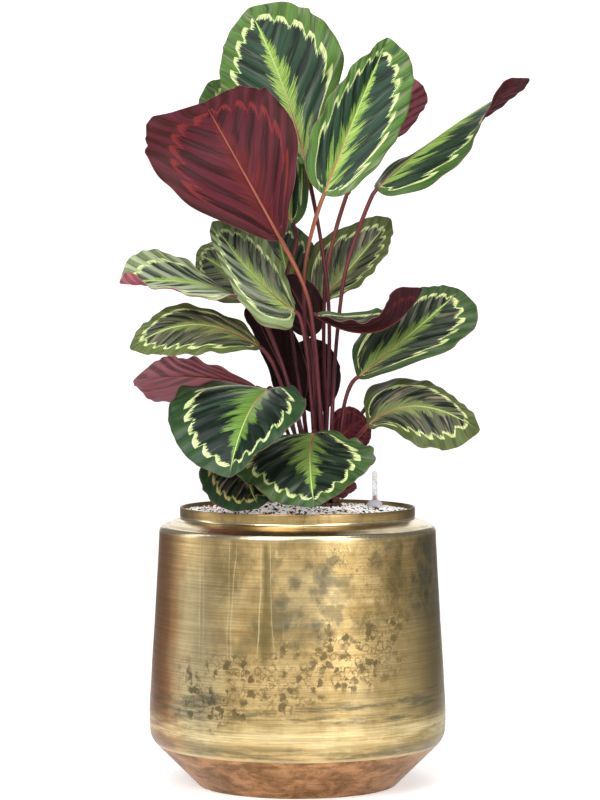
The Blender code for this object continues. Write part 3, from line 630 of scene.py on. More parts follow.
# %% Side leaves
LEAVES += [
    Leaf("07", (MIDDLE, 213), (-0.060, -0.010, 0.591), (-0.130, -0.030, 0.614),
         (-0.215, -0.030, 0.613), (-0.1, -0.35, 0.93), 0.060, 0.52, (-8, 5), (10, 10), twist=-25,
         left=((0.1, 1.0), (0.3, 1.08), (0.5, 0.76), (0.7, 0.52), (0.85, 0.65), (0.95, 1.1)),
         right=((0.2, 0.65), (0.4, 0.66), (0.6, 0.95), (0.75, 1.05), (0.9, 1.2)), roll=(270, 0)),
    Leaf("08", (OUTER, 196), (-0.045, -0.020, 0.535), (-0.125, -0.045, 0.563),
         (-0.202, -0.050, 0.534), (0.0, -0.50, 0.86), 0.060, 0.52, (-5, 10),
         left=((0.1, 0.7), (0.3, 1.0), (0.8, 1.0), (0.95, 0.7)),
         right=((0.2, 0.6), (0.35, 0.55), (0.5, 0.64), (0.7, 0.66), (0.85, 0.5))),
    Leaf("09", (OUTER, 174), (-0.050, 0.020, 0.485), (-0.120, 0.030, 0.499),
         (-0.200, 0.000, 0.495), (0.0, 0.45, 0.85), 0.058, 0.52,
         left=((0.2, 0.5), (0.35, 0.55), (0.5, 0.72), (0.7, 0.97), (0.9, 1.65), (0.96, 2.0)),
         right=((0.5, 1.4), (0.7, 1.5), (0.85, 1.1), (0.95, 0.9))),
    Leaf("10", (OUTER, 240), (-0.035, -0.030, 0.485), (-0.062, -0.110, 0.450),
         (-0.080, -0.165, 0.385), (-0.28, -0.62, 0.74), 0.084, 0.44, (14, 17), (-10, -10),
         sweep=0.0, heart=0.15, lean=0.16, bend=0.020,
         left=((0.1, 0.7), (0.3, 0.88), (0.45, 1.12), (0.6, 1.2), (0.75, 1.0), (0.9, 0.7)),
         right=((0.1, 1.15), (0.4, 1.0))),
    Leaf("11", (OUTER, 284), (0.020, -0.030, 0.432), (0.015, -0.100, 0.400),
         (0.020, -0.155, 0.350), (-0.15, -0.60, 0.78), 0.085, 0.46, (12, 0), sweep=0.0,
         heart=0.12, lean=0.14, bend=0.020,
         left=((0.1, 0.52), (0.3, 0.66), (0.45, 0.84), (0.6, 1.12), (0.75, 1.35), (0.9, 1.25)),
         right=((0.5, 1.0), (0.7, 0.85), (0.9, 0.8))),
    Leaf("12", (OUTER, 218), (-0.045, -0.030, 0.420), (-0.060, -0.080, 0.390),
         (-0.045, -0.120, 0.347), (-0.15, -0.75, 0.65), 0.060, 0.50, (-5, -5), sweep=0.0,
         right=((0.4, 1.03), (0.6, 0.97))),
]
print("leaves", len(LEAVES))

# %% Right and middle leaves
LEAVES += [
    Leaf("13", (OUTER, 340), (0.073, -0.010, 0.498), (0.140, -0.020, 0.554),
         (0.198, -0.010, 0.605), (-0.45, -0.71, 0.54), 0.060, 0.52, (-5, -5), sweep=0.15,
         left=((0.1, 1.8), (0.2, 1.42), (0.3, 1.18), (0.5, 1.0)),
         right=((0.1, 0.5), (0.3, 0.6), (0.5, 0.84), (0.7, 1.1), (0.9, 1.3))),
    Leaf("14", (MIDDLE, 309), (0.022, -0.014, 0.575), (0.096, -0.045, 0.556),
         (0.150, -0.050, 0.606), (-0.1, 0.15, 1.0), 0.048, 0.50, (45, 25), twist=-20, sweep=0.0,
         bend=0.012, left=((0.15, 0.6), (0.4, 0.85), (0.7, 1.0)),
         right=((0.1, 1.0), (0.3, 0.72), (0.45, 0.5), (0.6, 0.52), (0.72, 0.75), (0.9, 1.2)),
         roll=(0, 30)),
    Leaf("15", (MIDDLE, 245), (-0.002, -0.030, 0.578), (-0.055, -0.040, 0.625),
         (-0.103, -0.015, 0.688), (0.58, -0.45, 0.68), 0.060, 0.45, (-28, 8), twist=-14,
         heart=0.30, lean=-0.05, bend=0.015,
         left=((0.1, 0.9), (0.25, 0.85), (0.4, 0.7), (0.6, 0.48), (0.8, 0.4)),
         right=((0.1, 0.9), (0.5, 1.05), (0.8, 1.25), (0.95, 1.4))),
    Leaf("16", (MIDDLE, 181), (-0.055, 0.045, 0.595), (-0.090, 0.050, 0.630),
         (-0.125, 0.045, 0.650), (0.2, -0.8, 0.5), 0.046, 0.48,
         right=((0.5, 0.95), (0.8, 0.78), (0.95, 0.7))),
    Leaf("17", (MIDDLE, 117), (0.005, 0.075, 0.580), (-0.015, 0.085, 0.635),
         (-0.025, 0.085, 0.690), (0.1, -1.0, 0.1), 0.042, 0.50, (10, 10)),
    Leaf("18", (MIDDLE, 85), (0.027, 0.050, 0.590), (0.067, 0.057, 0.635), (0.115, 0.050, 0.693),
         (-0.52, -0.73, 0.43), 0.056, 0.48, (16, 16),
         left=((0.3, 1.0), (0.45, 1.05), (0.6, 0.95), (0.8, 0.75)),
         right=((0.1, 0.6), (0.3, 0.72), (0.5, 0.83), (0.8, 0.98))),
]
print("leaves", len(LEAVES))

# %% Low, small and back leaves
LEAVES += [
    Leaf("19", (OUTER, 318), (0.085, -0.030, 0.440), (0.145, -0.050, 0.465),
         (0.220, -0.050, 0.435), (0.1, -0.64, 0.77), 0.060, 0.42, (-8, -8), sweep=0.0, heart=0.15,
         left=((0.1, 1.6), (0.3, 1.12), (0.6, 0.95), (0.8, 0.85)),
         right=((0.15, 0.35), (0.3, 0.6), (0.5, 0.97), (0.7, 1.28), (0.9, 1.5))),
    Leaf("20", (OUTER, 92), (0.026, 0.060, 0.452), (0.020, 0.085, 0.499), (0.015, 0.085, 0.545),
         (0.0, 1.0, 0.1), 0.034),
    Leaf("21", (OUTER, 152), (0.004, 0.045, 0.465), (-0.031, 0.055, 0.530),
         (-0.058, 0.050, 0.590), (0.1, 1.0, 0.0), 0.034, bend=0.015,
         right=((0.1, 1.0), (0.2, 0.8), (0.35, 0.45), (0.75, 0.4), (0.92, 0.8))),
    Leaf("22", (INNER, 60), (0.018, 0.027, 0.548), (0.004, 0.033, 0.585), (-0.018, 0.029, 0.622),
         (0.0, 1.0, 0.0), 0.028),
    Leaf("23", (OUTER, 20), (0.046, 0.020, 0.420), (0.065, 0.020, 0.434), (0.084, 0.018, 0.448),
         (0.2, 0.97, 0.1), 0.029, bend=0.010),
    Leaf("24", (OUTER, 262), (-0.005, -0.070, 0.362), (0.036, -0.090, 0.359),
         (0.069, -0.100, 0.375), (0.0, 0.3, 1.0), 0.042, 0.50, (10, 25), sweep=0.0, bend=0.010),
    Leaf("25", (OUTER, 130), (-0.045, 0.100, 0.440), (-0.080, 0.150, 0.435),
         (-0.110, 0.190, 0.405), (-0.2, 0.6, 0.8), 0.055),
    Leaf("26", (OUTER, 44), (0.105, 0.100, 0.475), (0.140, 0.150, 0.460), (0.185, 0.190, 0.430),
         (0.2, 0.6, 0.8), 0.045),
]

print("leaves", len(LEAVES))

# %% Tones
# how olive a blade has turned (0 to 1), and how deep (up to 1) or pale (down to -1) its colours
# are;
# deep is partly a blade's own dark green and partly painted shade on blades inside the plant, and
# pale is a painted sheen of the light
TONES = {
    "01": (0.1, 0.0), "02": (0.05, 0.1), "03": (0.1, 0.15), "04": (0.15, 0.5), "05": (0.1, 0.4),
    "06": (0.2, -0.45), "07": (0.2, -1.35), "08": (0.75, 0.0), "09": (0.1, -0.6),
    "10": (0.0, 0.9), "11": (0.2, 0.6), "12": (0.9, 1.0), "13": (0.4, 0.72), "14": (0.4, 0.72),
    "15": (0.5, -0.5), "16": (0.6, -0.3), "17": (0.3, 0.6), "18": (0.85, 0.15),
    "19": (0.9, 0.25), "20": (0.2, 1.0), "21": (0.2, 1.0), "22": (0.2, 1.0), "23": (0.1, 0.0),
    "24": (0.2, 0.0),
}

# how far a stalk has turned from maroon to orange brown towards its blade
RUDDY = {"01": 0.15, "02": 0.95, "03": 0.8, "06": 0.35, "09": 0.3, "13": 0.15, "19": 0.15}

print("blades with a tone of their own:", len(TONES), "and stalks:", len(RUDDY))

# %% [markdown]
# ## Blades
# A blade is a thin sheet hung on its midrib.  It could be a flat outline bent by modifiers, but
# then its shape and its veins would lose sight of each other.  So it starts as a grid with one row
# for each step along the midrib, and every point knows how far along and how far out it is.


# %% Outline
def width_share(along, widest):
    """Half width of a blade as a share of its widest, at a place along the midrib from 0 to 1."""
    power = np.log(0.5) / np.log(widest)
    return np.sin(pi * np.clip(along, 0.0002, 0.9998) ** power) ** 0.5


def edge_share(pairs, along):
    """The share of its plain width that a half of a blade has, at places along the midrib."""
    if not pairs:
        return np.ones_like(along)
    places, shares = zip(*pairs)
    return sum(np.interp(along + shift, places, shares) for shift in (-0.04, 0.0, 0.04)) / 3


print("a blade near its tip has", round(width_share(0.95, 0.50), 2), "of its widest half width")


# %% Midrib
def turn_about(vectors, axes, angles):
    """Vectors turned about axes that stand square to them."""
    return vectors * np.cos(angles)[:, None] + np.cross(axes, vectors) * np.sin(angles)[:, None]


def midrib_frame(leaf, along):
    """Points of the midrib, with the directions forward, up and right at each."""
    base, middle, tip = (np.array(point) for point in (leaf.base, leaf.middle, leaf.tip))
    handle = 2 * middle - (base + tip) / 2
    u = along[:, None]
    midrib = (1 - u) ** 2 * base + 2 * u * (1 - u) * handle + u ** 2 * tip
    forward = 2 * (1 - u) * (handle - base) + 2 * u * (tip - handle)
    forward /= np.linalg.norm(forward, axis=1, keepdims=True)
    facing = np.array(leaf.facing)
    up = facing - (forward @ facing)[:, None] * forward
    up /= np.linalg.norm(up, axis=1, keepdims=True)
    up = turn_about(up, forward, radians(leaf.twist) * (2 * along - 1))
    return midrib, forward, up, np.cross(forward, up)


print("first midrib starts at", midrib_frame(LEAVES[0], np.zeros(1))[0][0].tolist())

# %% Blade surface
HEART_START = 0.04           # the heart at the base is deepest at this share of the way along


def arc_reach(fold, curl, distance):
    """How far out and up a half blade has come after a distance along its cross-section."""
    curl = np.where(np.abs(curl) < 0.001, 0.001, curl)
    end = fold + curl * distance
    return (np.sin(end) - sin(fold)) / curl, (cos(fold) - np.cos(end)) / curl


def blade_surface(leaf, along, across):
    """Points of a plain blade on a grid: along runs from 0 to 1, and across from -1 to 1."""
    midrib, forward, up, right = midrib_frame(leaf, along)
    share = width_share(along, leaf.widest)
    surface = np.zeros((len(along), len(across), 3))
    for column, v in enumerate(across):
        side = 1 if v >= 0 else -1
        half = (side + 1) // 2
        width = leaf.half_width * (1 + side * leaf.lean) * share
        width = width * edge_share((leaf.left, leaf.right)[half], along)
        fold = radians(leaf.fold[half])
        curl = radians(leaf.curl[half]) + radians(leaf.roll[half]) * along ** 6
        out, lift = arc_reach(fold, curl, abs(v))
        pulled = leaf.heart * (1 - along) * np.minimum(along / HEART_START, 1.0)
        drawn = abs(v) ** 1.5 * (leaf.sweep * along - pulled)
        surface[:, column] = (midrib + side * right * (out * width)[:, None]
                              + up * (lift * width)[:, None] + forward * (drawn * width)[:, None])
    return surface


quarter_out = float(arc_reach(0.0, pi / 2, 1.0)[0])
print("a half blade curled by 90 degrees reaches", round(quarter_out, 2), "of its width")

# %% [markdown]
# ### Veins and rings
# Side veins run forwards from the midrib, and on a calathea the markings follow them.  A painted
# picture of the markings would not fit blades of many shapes.  Each point gets two numbers
# instead: which vein it lies on, and which of many smaller copies of the outline.

# %% Vein and ring numbers
VEIN_REACH = 0.56            # how far forward a vein ends, as a share of the blade's length
VEIN_BEND = 1.12
PLEATS = 6.0                 # pleats on each side, for each length of blade
RING_BASE = 0.03             # where the pale ring closes at either end of the blade
RING_TIP = 0.92
RING_OUT = 0.78              # how far out the ring runs, as a share of the half width


def vein_number(along, half_out):
    """Where the vein through a point leaves the midrib."""
    return along - VEIN_REACH * half_out ** VEIN_BEND


def ring_number(along, half_out, widest):
    """0 on the midrib and 1 on the outline, by smaller and smaller copies of the outline."""
    low = np.zeros_like(along)
    high = np.ones_like(along) * 1.02
    power = np.log(0.5) / np.log(widest)
    for _ in range(24):
        size = (low + high) / 2
        start = RING_BASE * (1 - size) / (1 - RING_OUT)
        end = 1 - (1 - RING_TIP) * (1 - size) / (1 - RING_OUT)
        inner = np.clip((along - start) / (end - start), 0.0, 1.0)
        reach = size * np.sqrt(np.maximum(np.sin(pi * inner ** power), 0.0))
        inside_it = reach < half_out
        low = np.where(inside_it, size, low)
        high = np.where(inside_it, high, size)
    return (low + high) / 2


print("half way out is ring", ring_number(np.array([0.5]), np.array([0.5]), 0.5).round(2)[0])


# %% Notes for the markings
def write_note(piece, name, numbers):
    """Stores three numbers for each corner point of a mesh."""
    attribute = piece.data.attributes.new(name, "FLOAT_VECTOR", "POINT")
    attribute.data.foreach_set("vector", np.asarray(numbers, np.float32).ravel())


def note_markings(blade, leaf, number, spots, u, v, share):
    """Writes down where each point of a blade lies among its veins and rings."""
    out = np.abs(v)
    cell = vein_number(u, out * share) * PLEATS
    ring = ring_number(u, out * share, leaf.widest)
    width = np.where(v < 0, edge_share(leaf.left, u), edge_share(leaf.right, u)) * share
    from_midrib = out * width * leaf.half_width
    from_edge = (1 - out) * width * leaf.half_width
    write_note(blade, "veins", np.stack([cell, ring, u], axis=2)[spots])
    write_note(blade, "reach", np.stack([v * share, from_midrib, from_edge], axis=2)[spots])
    tone = (number * 7.31, *TONES.get(leaf.name, (0.3, 0.6)))
    write_note(blade, "tone", np.broadcast_to(tone, (len(blade.data.vertices), 3)))


print("tone of leaf 01:", TONES["01"])

# %% [markdown]
# ### Pleats and ruffles
# The sheet is pleated along its veins, ruffled at its edge and uneven in outline.  A displace
# modifier would need a picture for each blade.  Waves made of sines do it on the grid's own
# numbers, and each blade draws its random numbers in the same order every time.

# %% Lobes of the outline
LOBES = 24                   # lobes that a blade has before their sizes repeat


def smooth(low, high, numbers):
    """The soft step of the materials, for numbers in code."""
    share = np.clip((numbers - low) / (high - low), 0.0, 1.0)
    return share * share * (3 - 2 * share)


def lobe_sizes(random, number, u, out, vein, side):
    """How much further out than on the plain outline a point lies, as a share of its way out."""
    cell = vein * PLEATS
    turns = cell * 0.62 + side + 0.30 * np.sin(2.3 * cell + number) + random.uniform(0, 1)
    corner = np.abs(2 * (turns % 1.0) - 1) ** 1.3
    peaks = random.uniform(0.1, 1.5, LOBES)
    before = np.floor(turns).astype(int) % LOBES
    peak = peaks[before] + (peaks[(before + 1) % LOBES] - peaks[before]) * (turns % 1.0)
    lobes = (0.046 * (corner * peak - 0.4) + 0.006 * np.sin(31 * vein + number)) * out ** 3
    return lobes * smooth(0.25, 0.80, u) * random.uniform(0.6, 1.3)


print("lobes before their sizes repeat:", LOBES)

# %% Lift of the sheet
PLEAT_DEPTH = 0.0011         # these depths are for a blade of the usual half width
RUFFLE_DEPTH = 0.0017
USUAL_HALF_WIDTH = 0.070
GROOVE_DEPTH = 0.0007
GROOVE_WIDTH = 0.0022


def sheet_lift(random, leaf, u, v, share, vein, side):
    """How far pleats, ruffles and the groove of the midrib lift each point, in metres."""
    out = np.abs(v)
    half = np.where(v >= 0, 1.0, -1.0)
    cell = vein * PLEATS
    scale = leaf.half_width / USUAL_HALF_WIDTH
    ends = smooth(0.0, 0.14, u) * smooth(1.0, 0.90, u)
    pleat = np.sin(tau * (cell + side)) * PLEAT_DEPTH * scale * smooth(0.04, 0.5, out) * ends
    pleat = pleat * (1 - 0.65 * smooth(0.6, 1.0, out))
    waves = np.zeros_like(u)
    for k in range(3):
        turns = random.uniform(2.0, 6.0)
        start = random.uniform(0, tau)
        waves += np.sin(tau * turns * u + start + 1.7 * half * (k + 1)) * random.uniform(0.4, 1.0)
    ruffle = 1.3 * waves + 0.3 * np.sin(tau * (cell + side) + 0.6)
    ruffle = ruffle * RUFFLE_DEPTH * scale * out ** 4 * ends
    groove = -GROOVE_DEPTH * np.exp(-(out * share * leaf.half_width / GROOVE_WIDTH) ** 2) * ends
    return pleat + ruffle + groove


print("pleats", PLEAT_DEPTH, "m deep and ruffles", RUFFLE_DEPTH)

# %% One blade
BLADE_ROWS = 104
BLADE_COLUMNS = 45
BLADE_THICKNESS = 0.0006
TIP_SLIMMING = 0.35


def flat_grid(name, rows, columns):
    """A flat grid, the row of each of its corner points, and their places across from -1 to 1."""
    bpy.ops.object.select_all(action="DESELECT")
    bpy.ops.mesh.primitive_grid_add(x_subdivisions=rows - 1, y_subdivisions=columns - 1,
                                    size=2, location=(0, 0, 0))
    grid = bpy.context.object
    grid.name = name
    flat = np.zeros(len(grid.data.vertices) * 3, np.float32)
    grid.data.vertices.foreach_get("co", flat)
    flat = flat.reshape(-1, 3)
    return grid, np.round((flat[:, 0] + 1) / 2 * (rows - 1)).astype(int), flat[:, 1]


def make_blade(leaf, number):
    """A pleated and ruffled blade, with its notes for the markings."""
    random = np.random.default_rng(100 + number)
    blade, row, level = flat_grid("calathea_blade_" + leaf.name, BLADE_ROWS, BLADE_COLUMNS)
    spots = row, np.round((1 - level) / 2 * (BLADE_COLUMNS - 1)).astype(int)

    along = 0.5 - 0.5 * np.cos(np.linspace(0.0, pi, BLADE_ROWS))
    across = np.linspace(-1.0, 1.0, BLADE_COLUMNS)
    across = np.sign(across) * np.abs(across) ** 1.05
    surface = blade_surface(leaf, along, across)
    u, v = np.meshgrid(along, across, indexing="ij")
    share = width_share(u, leaf.widest)
    vein = vein_number(u, np.abs(v) * share)
    side = 0.5 * (v > 0)

    size = 1 + lobe_sizes(random, number, u, np.abs(v), vein, side)
    size = size * (1 - TIP_SLIMMING * smooth(0.93, 1.0, u))
    middle = surface[:, BLADE_COLUMNS // 2][:, None, :]
    surface = middle + (surface - middle) * size[:, :, None]
    normal = np.cross(np.gradient(surface, axis=1), np.gradient(surface, axis=0))
    normal /= np.maximum(np.linalg.norm(normal, axis=2, keepdims=True), 1e-12)
    lift = sheet_lift(random, leaf, u, v, share, vein, side)
    surface = surface + normal * lift[:, :, None]
    blade.data.vertices.foreach_set("co", surface[spots].astype(np.float32).ravel())
    note_markings(blade, leaf, number, spots, u, v, share)
    blade.data.update()

    bpy.ops.object.shade_smooth()
    skin = blade.modifiers.new("skin", "SOLIDIFY")
    skin.thickness = BLADE_THICKNESS
    skin.offset = -1.0
    skin.material_offset = 1
    skin.material_offset_rim = 1
    blade.data.materials.append(None)
    blade.data.materials.append(None)
    bpy.ops.object.modifier_apply(modifier="skin")
    return blade


print("a blade is a grid of", BLADE_ROWS, "by", BLADE_COLUMNS, "points")

# %% [markdown]
# ### Markings
# The upper side has a bright feather round the midrib, a nearly black zone in stripes, and a pale
# ring that caps each pleat.  Both sides show the same markings, so they are worked out once, in a
# node group, and each side's material paints them in its own colours.  Every edge is frayed along
# the veins: noise that changes fast across the veins and slowly along them moves it.


# %% Places and notes on the mesh
def vector(x, y, z):
    """A place made of three numbers, of which the first changes over the surface."""
    node = x.tree.nodes.new("ShaderNodeCombineXYZ")
    for part, socket in zip((x, y, z), node.inputs):
        plug(part, socket)
    return node.outputs[0]


def chance(x, y):
    """A random number from 0 to 1 for each whole x and y."""
    node = x.tree.nodes.new("ShaderNodeTexWhiteNoise")
    node.noise_dimensions = "2D"
    fill(node, Vector=vector(x, y, 0.0))
    return Value(node.outputs[0])


def note(tree, name):
    """The three numbers that a mesh carries under a name, as Values."""
    node = tree.nodes.new("ShaderNodeAttribute")
    node.attribute_name = name
    parts = tree.nodes.new("ShaderNodeSeparateXYZ")
    plug(node.outputs["Vector"], parts.inputs[0])
    return [Value(socket) for socket in parts.outputs]


print("a blade's markings read 3 notes of 3 numbers each")

# %% What a point knows
markings = bpy.data.node_groups.new("calathea_markings", "ShaderNodeTree")
tree = markings
cell, ring, along = note(tree, "veins")
across, from_midrib, from_edge = note(tree, "reach")
seed, olive, shade = note(tree, "tone")
reach = across.sum("ABSOLUTE")
right_half = across.sum("GREATER_THAN", 0.0)

cell = cell + right_half * 40.5
wobble = cloud(vector(cell * 0.7, reach * 2.6, seed), 1.0, 2)
cell = cell + (wobble - 0.5) * 0.45
part = cell.sum("FRACT")
which = cell.sum("FLOOR")
luck = chance(which, seed)
luck_two = chance(which + 0.5, seed)
print("nodes that read the notes:", len(tree.nodes))


# %% Frayed edges
def along_veins(fine, coarse, *kind):
    """Noise that is fine across the veins and coarse along them."""
    return cloud(vector(cell * fine, reach * coarse, seed), 1.0, *kind)


teeth = along_veins(8.0, 2.5, 2, 0.75) - 0.5
fine_teeth = along_veins(30.0, 4.0, 1) - 0.5
jag = teeth * 0.9 + fine_teeth * 1.1
print("nodes with the frayed edges:", len(tree.nodes))

# %% Pale ring
# it caps each pleat: a short leg on the inner vein and a long thin tail on the outer one
inner_leg = part.step(0.88, 1.0)
outer_tail = part.step(0.0, 0.55).flip()
cap = (luck - 0.5) * 0.05 - inner_leg * 0.085 - outer_tail * 0.085 + (RING_OUT - 0.02)
thick = part.step(0.05, 0.6) * 0.022 + luck_two * 0.012 + 0.008
thick = thick * (inner_leg * 0.6).flip() * (along.step(0.02, 0.30) * 0.5 + 0.5)
gap = ring + jag * 0.085 - cap
ring_mask = (gap.sum("ABSOLUTE") - thick - jag * 0.07).step(0.006, -0.004)
dark_zone = gap.step(0.006, -0.004)
print("nodes with the ring:", len(tree.nodes))

# %% Feather
# it has a comb of teeth for each pleat, longest on the side towards the tip
comb = (part.step(-0.2, 0.9) * 0.75 + 0.25) * part.step(0.985, 0.92)
length_way = along.step(0.0, 0.16) * along.step(0.95, 0.32)
feather_reach = length_way * (comb * (luck * 0.16 + 0.17) + 0.02) + along.step(0.94, 0.7) * 0.012
feather_reach = feather_reach * (jag * 2.2 + 1.0)
feather = (feather_reach - reach).step(-0.008, 0.012)
print("nodes with the feather:", len(tree.nodes))

# %% Stripes, midrib and edge
# band: lighter and darker stripes along each pleat, partly the blade's own stripes and partly
# painted light and shade of the pleats
band = (part * tau + luck * 2.0).sum("SINE") * 0.5 + 0.5
band = (band + (teeth * 0.5)).step(0.25, 0.75)
soft = along_veins(3.2, 1.6, 2, 0.6)
sheen = (part + soft * 0.5).sum("FRACT").step(0.50, 0.72) * soft.step(0.46, 0.60)
streak = along_veins(14.0, 2.4, 3, 0.65)
hair = along_veins(60.0, 6.0, 2, 0.6)
rib_width = along.step(1.0, 0.0) * 0.0008 + 0.0003
midrib = (from_midrib - rib_width).step(0.00025, -0.00015) * along.step(0.97, 0.88)
edge = from_edge.step(0.0010, 0.0003)
print("nodes with the stripes:", len(tree.nodes))


# %% Outputs of the group
def send_out(group, values):
    """Gives a node group a named output for each of its values."""
    way_out = group.nodes.new("NodeGroupOutput")
    for name, value in values.items():
        group.interface.new_socket(name, in_out="OUTPUT", socket_type="NodeSocketFloat")
        plug(value, way_out.inputs[name])


# Deep is partly a blade's own dark green and partly painted shade on blades inside the plant; Pale
# is a painted sheen of the light
send_out(markings, {
    "Feather": feather, "Dark zone": dark_zone, "Ring": ring_mask, "Band": band, "Sheen": sheen,
    "Streak": streak, "Midrib": midrib, "Edge": edge, "Height": hair * 0.35 + streak * 0.25,
    "Along": along, "Olive": olive, "Deep": shade.sum("MAXIMUM", 0.0),
    "Pale": (shade * -1.0).sum("MAXIMUM", 0.0),
})
print("markings group:", len(tree.nodes), "nodes")

# %% [markdown]
# ### Colours of the blades
# The upper side is green and the underside wine red.  Two textures would do, but they would have to
# match along every edge.  Both materials place the same group and lay their own paints through its
# masks, from the ground colour up to the ring.


# %% Marked materials
def marked_material(name, **plain):
    """A material with the markings group in it, and the group's outputs as Values."""
    material, tree, shader = new_material(name, **plain)
    node = tree.nodes.new("ShaderNodeGroup")
    node.node_tree = markings
    return material, tree, shader, {out.name: Value(out) for out in node.outputs}


upper, tree, shader, mark = marked_material("leaf_upper_side", Specular_IOR_Level=0.24)
print("masks of the markings:", list(mark))

# %% Upper side: margin
band, sheen, olive, deep, pale = [mark[name] for name in ("Band", "Sheen", "Olive", "Deep", "Pale")]
streak = mark["Streak"].step(0.34, 0.66)
# the crease mask is painted shade in dark streaks along the veins, where the creases lie
crease_shade = mark["Streak"].step(0.48, 0.36) * (olive * 0.55 + 0.35)
# band stripes are partly the blade's own stripes and partly painted light and shade of the pleats;
# sheen and pale are a painted sheen, and deep is partly painted shade
margin = layers(
    blend(band, paint(40, 72, 32), paint(70, 108, 42)),
    (streak * 0.35, paint(112, 142, 70)),
    (sheen * 0.45, paint(146, 150, 112)),
    (olive * 0.7, paint(94, 90, 52)),
    (crease_shade * 0.75, paint(20, 34, 16)),
    (deep * 0.9, paint(22, 48, 30)),
    (pale * (band * 0.65 + 0.10), paint(160, 168, 132)),
)
print("nodes with the margin:", len(tree.nodes))

# %% Upper side: dark zone
sheen_paint = blend(olive * 1.6, paint(76, 106, 84), paint(140, 128, 108))
# the dark zone gets the same painted light and shade: band, sheen, pale, crease and deep
night = layers(
    blend(band, paint(8, 22, 15), paint(26, 60, 43)),
    (streak * 0.25, paint(60, 78, 58)),
    (sheen * (olive * 0.6 + 0.35), sheen_paint),
    (olive * 0.6 * band, paint(112, 104, 76)),
    (pale * (band * 0.75 + 0.02), paint(152, 158, 132)),
    (crease_shade, paint(8, 15, 9)),
    (deep * (sheen * -0.5 + 0.8), paint(4, 12, 8)),
)
print("nodes with the dark zone:", len(tree.nodes))

# %% Upper side: feather, ring and midrib
bright = layers(
    blend(streak, paint(96, 132, 44), paint(160, 186, 92)),
    (deep * 0.65, paint(54, 96, 36)),
    (olive * 0.85, paint(122, 126, 80)),
)
pale_ring = layers(
    blend(streak, paint(170, 188, 112), paint(212, 222, 164)),
    (olive * deep * 0.9, paint(160, 142, 76)),
)
rib = blend(mark["Along"].step(0.15, 0.6), paint(176, 108, 90), paint(186, 212, 126))
colour = layers(
    margin,
    (mark["Dark zone"], night),
    (mark["Feather"] * (olive * -0.35 + 1.0), bright),
    (mark["Ring"] * (mark["Streak"].step(0.30, 0.50) * 0.4 + 0.6), pale_ring),
    (mark["Midrib"], rib),
    (mark["Edge"] * 0.6, paint(112, 88, 74)),
)
fill(shader, Base_Color=colour, Roughness=mark["Streak"] * 0.18 + 0.24,
     Normal=relief(mark["Height"], 0.0005))
print("nodes of the upper side:", len(tree.nodes))

# %% Underside
under, tree, shader, mark = marked_material("leaf_underside", Specular_IOR_Level=0.09)
# band stripes are partly the blade's own stripes and partly painted light and shade of the pleats;
# sheen and pale are a painted sheen, deep is partly painted shade on blades inside the plant, and
# the edge is a painted pale highlight
band = mark["Band"]
wine = layers(
    blend(band, paint(42, 14, 18), paint(76, 24, 33)),
    (mark["Sheen"] * 0.3, paint(102, 46, 60)),
)
colour = layers(
    blend(band, paint(54, 22, 22), paint(76, 30, 38)),
    (mark["Dark zone"], wine),
    (mark["Feather"] * 0.45, paint(106, 32, 28)),
    (mark["Ring"] * 0.6, paint(130, 42, 40)),
    (mark["Streak"].step(0.35, 0.65) * 0.10, paint(130, 70, 74)),
    (mark["Pale"] * (band * 1.1 + 0.35).sum("MINIMUM", 1.0), paint(158, 90, 100)),
    (mark["Deep"] * 0.85, paint(10, 3, 4)),
    (mark["Edge"] * 0.5, paint(150, 96, 90)),
)
fill(shader, Base_Color=colour, Roughness=mark["Streak"] * 0.12 + 0.42,
     Normal=relief(mark["Height"], 0.0003))
print("nodes of the underside:", len(tree.nodes))

# %% Make the blades
blade_faces = 0
for number, leaf in enumerate(LEAVES):
    blade = make_blade(leaf, number)
    blade_faces += len(blade.data.polygons)
    hand_over(blade, "leaf", [upper, under], "leaf_" + leaf.name)
print("blades", len(LEAVES), "with", blade_faces, "faces")

# %% [markdown]
# ## Stalks
# A stalk is a sheath at the foot, slim in the middle and swollen at the joint below the blade, and
# it runs on as the ridge of the midrib under the blade.  A curve with a bevel would make one even
# tube.  A grid rolled round the same route can have a groove along its front and carry notes for
# its colours.


# %% Curve between two ends
def cubic(start, first, second, end, share):
    """A point of a cubic curve."""
    return ((1 - share) ** 3 * start + 3 * share * (1 - share) ** 2 * first
            + 3 * share ** 2 * (1 - share) * second + share ** 3 * end)


def even_steps(points, count):
    """The same line with its points evenly apart."""
    steps = np.linalg.norm(np.diff(points, axis=0), axis=1)
    travelled = np.concatenate([[0.0], np.cumsum(steps)])
    wanted = np.linspace(0.0, travelled[-1], count)
    return np.stack([np.interp(wanted, travelled, points[:, i]) for i in range(3)], axis=1)


print("half way along a curve with its handles at 0 and 1:", cubic(0, 0, 1, 1, 0.5))

# %% Stalk route
CROWN = (0.028, 0.012, 0.344)
CLEARANCE = 0.0003           # a stalk ends this far above the crown
STALK_END = 0.003            # straight piece at either end of a stalk


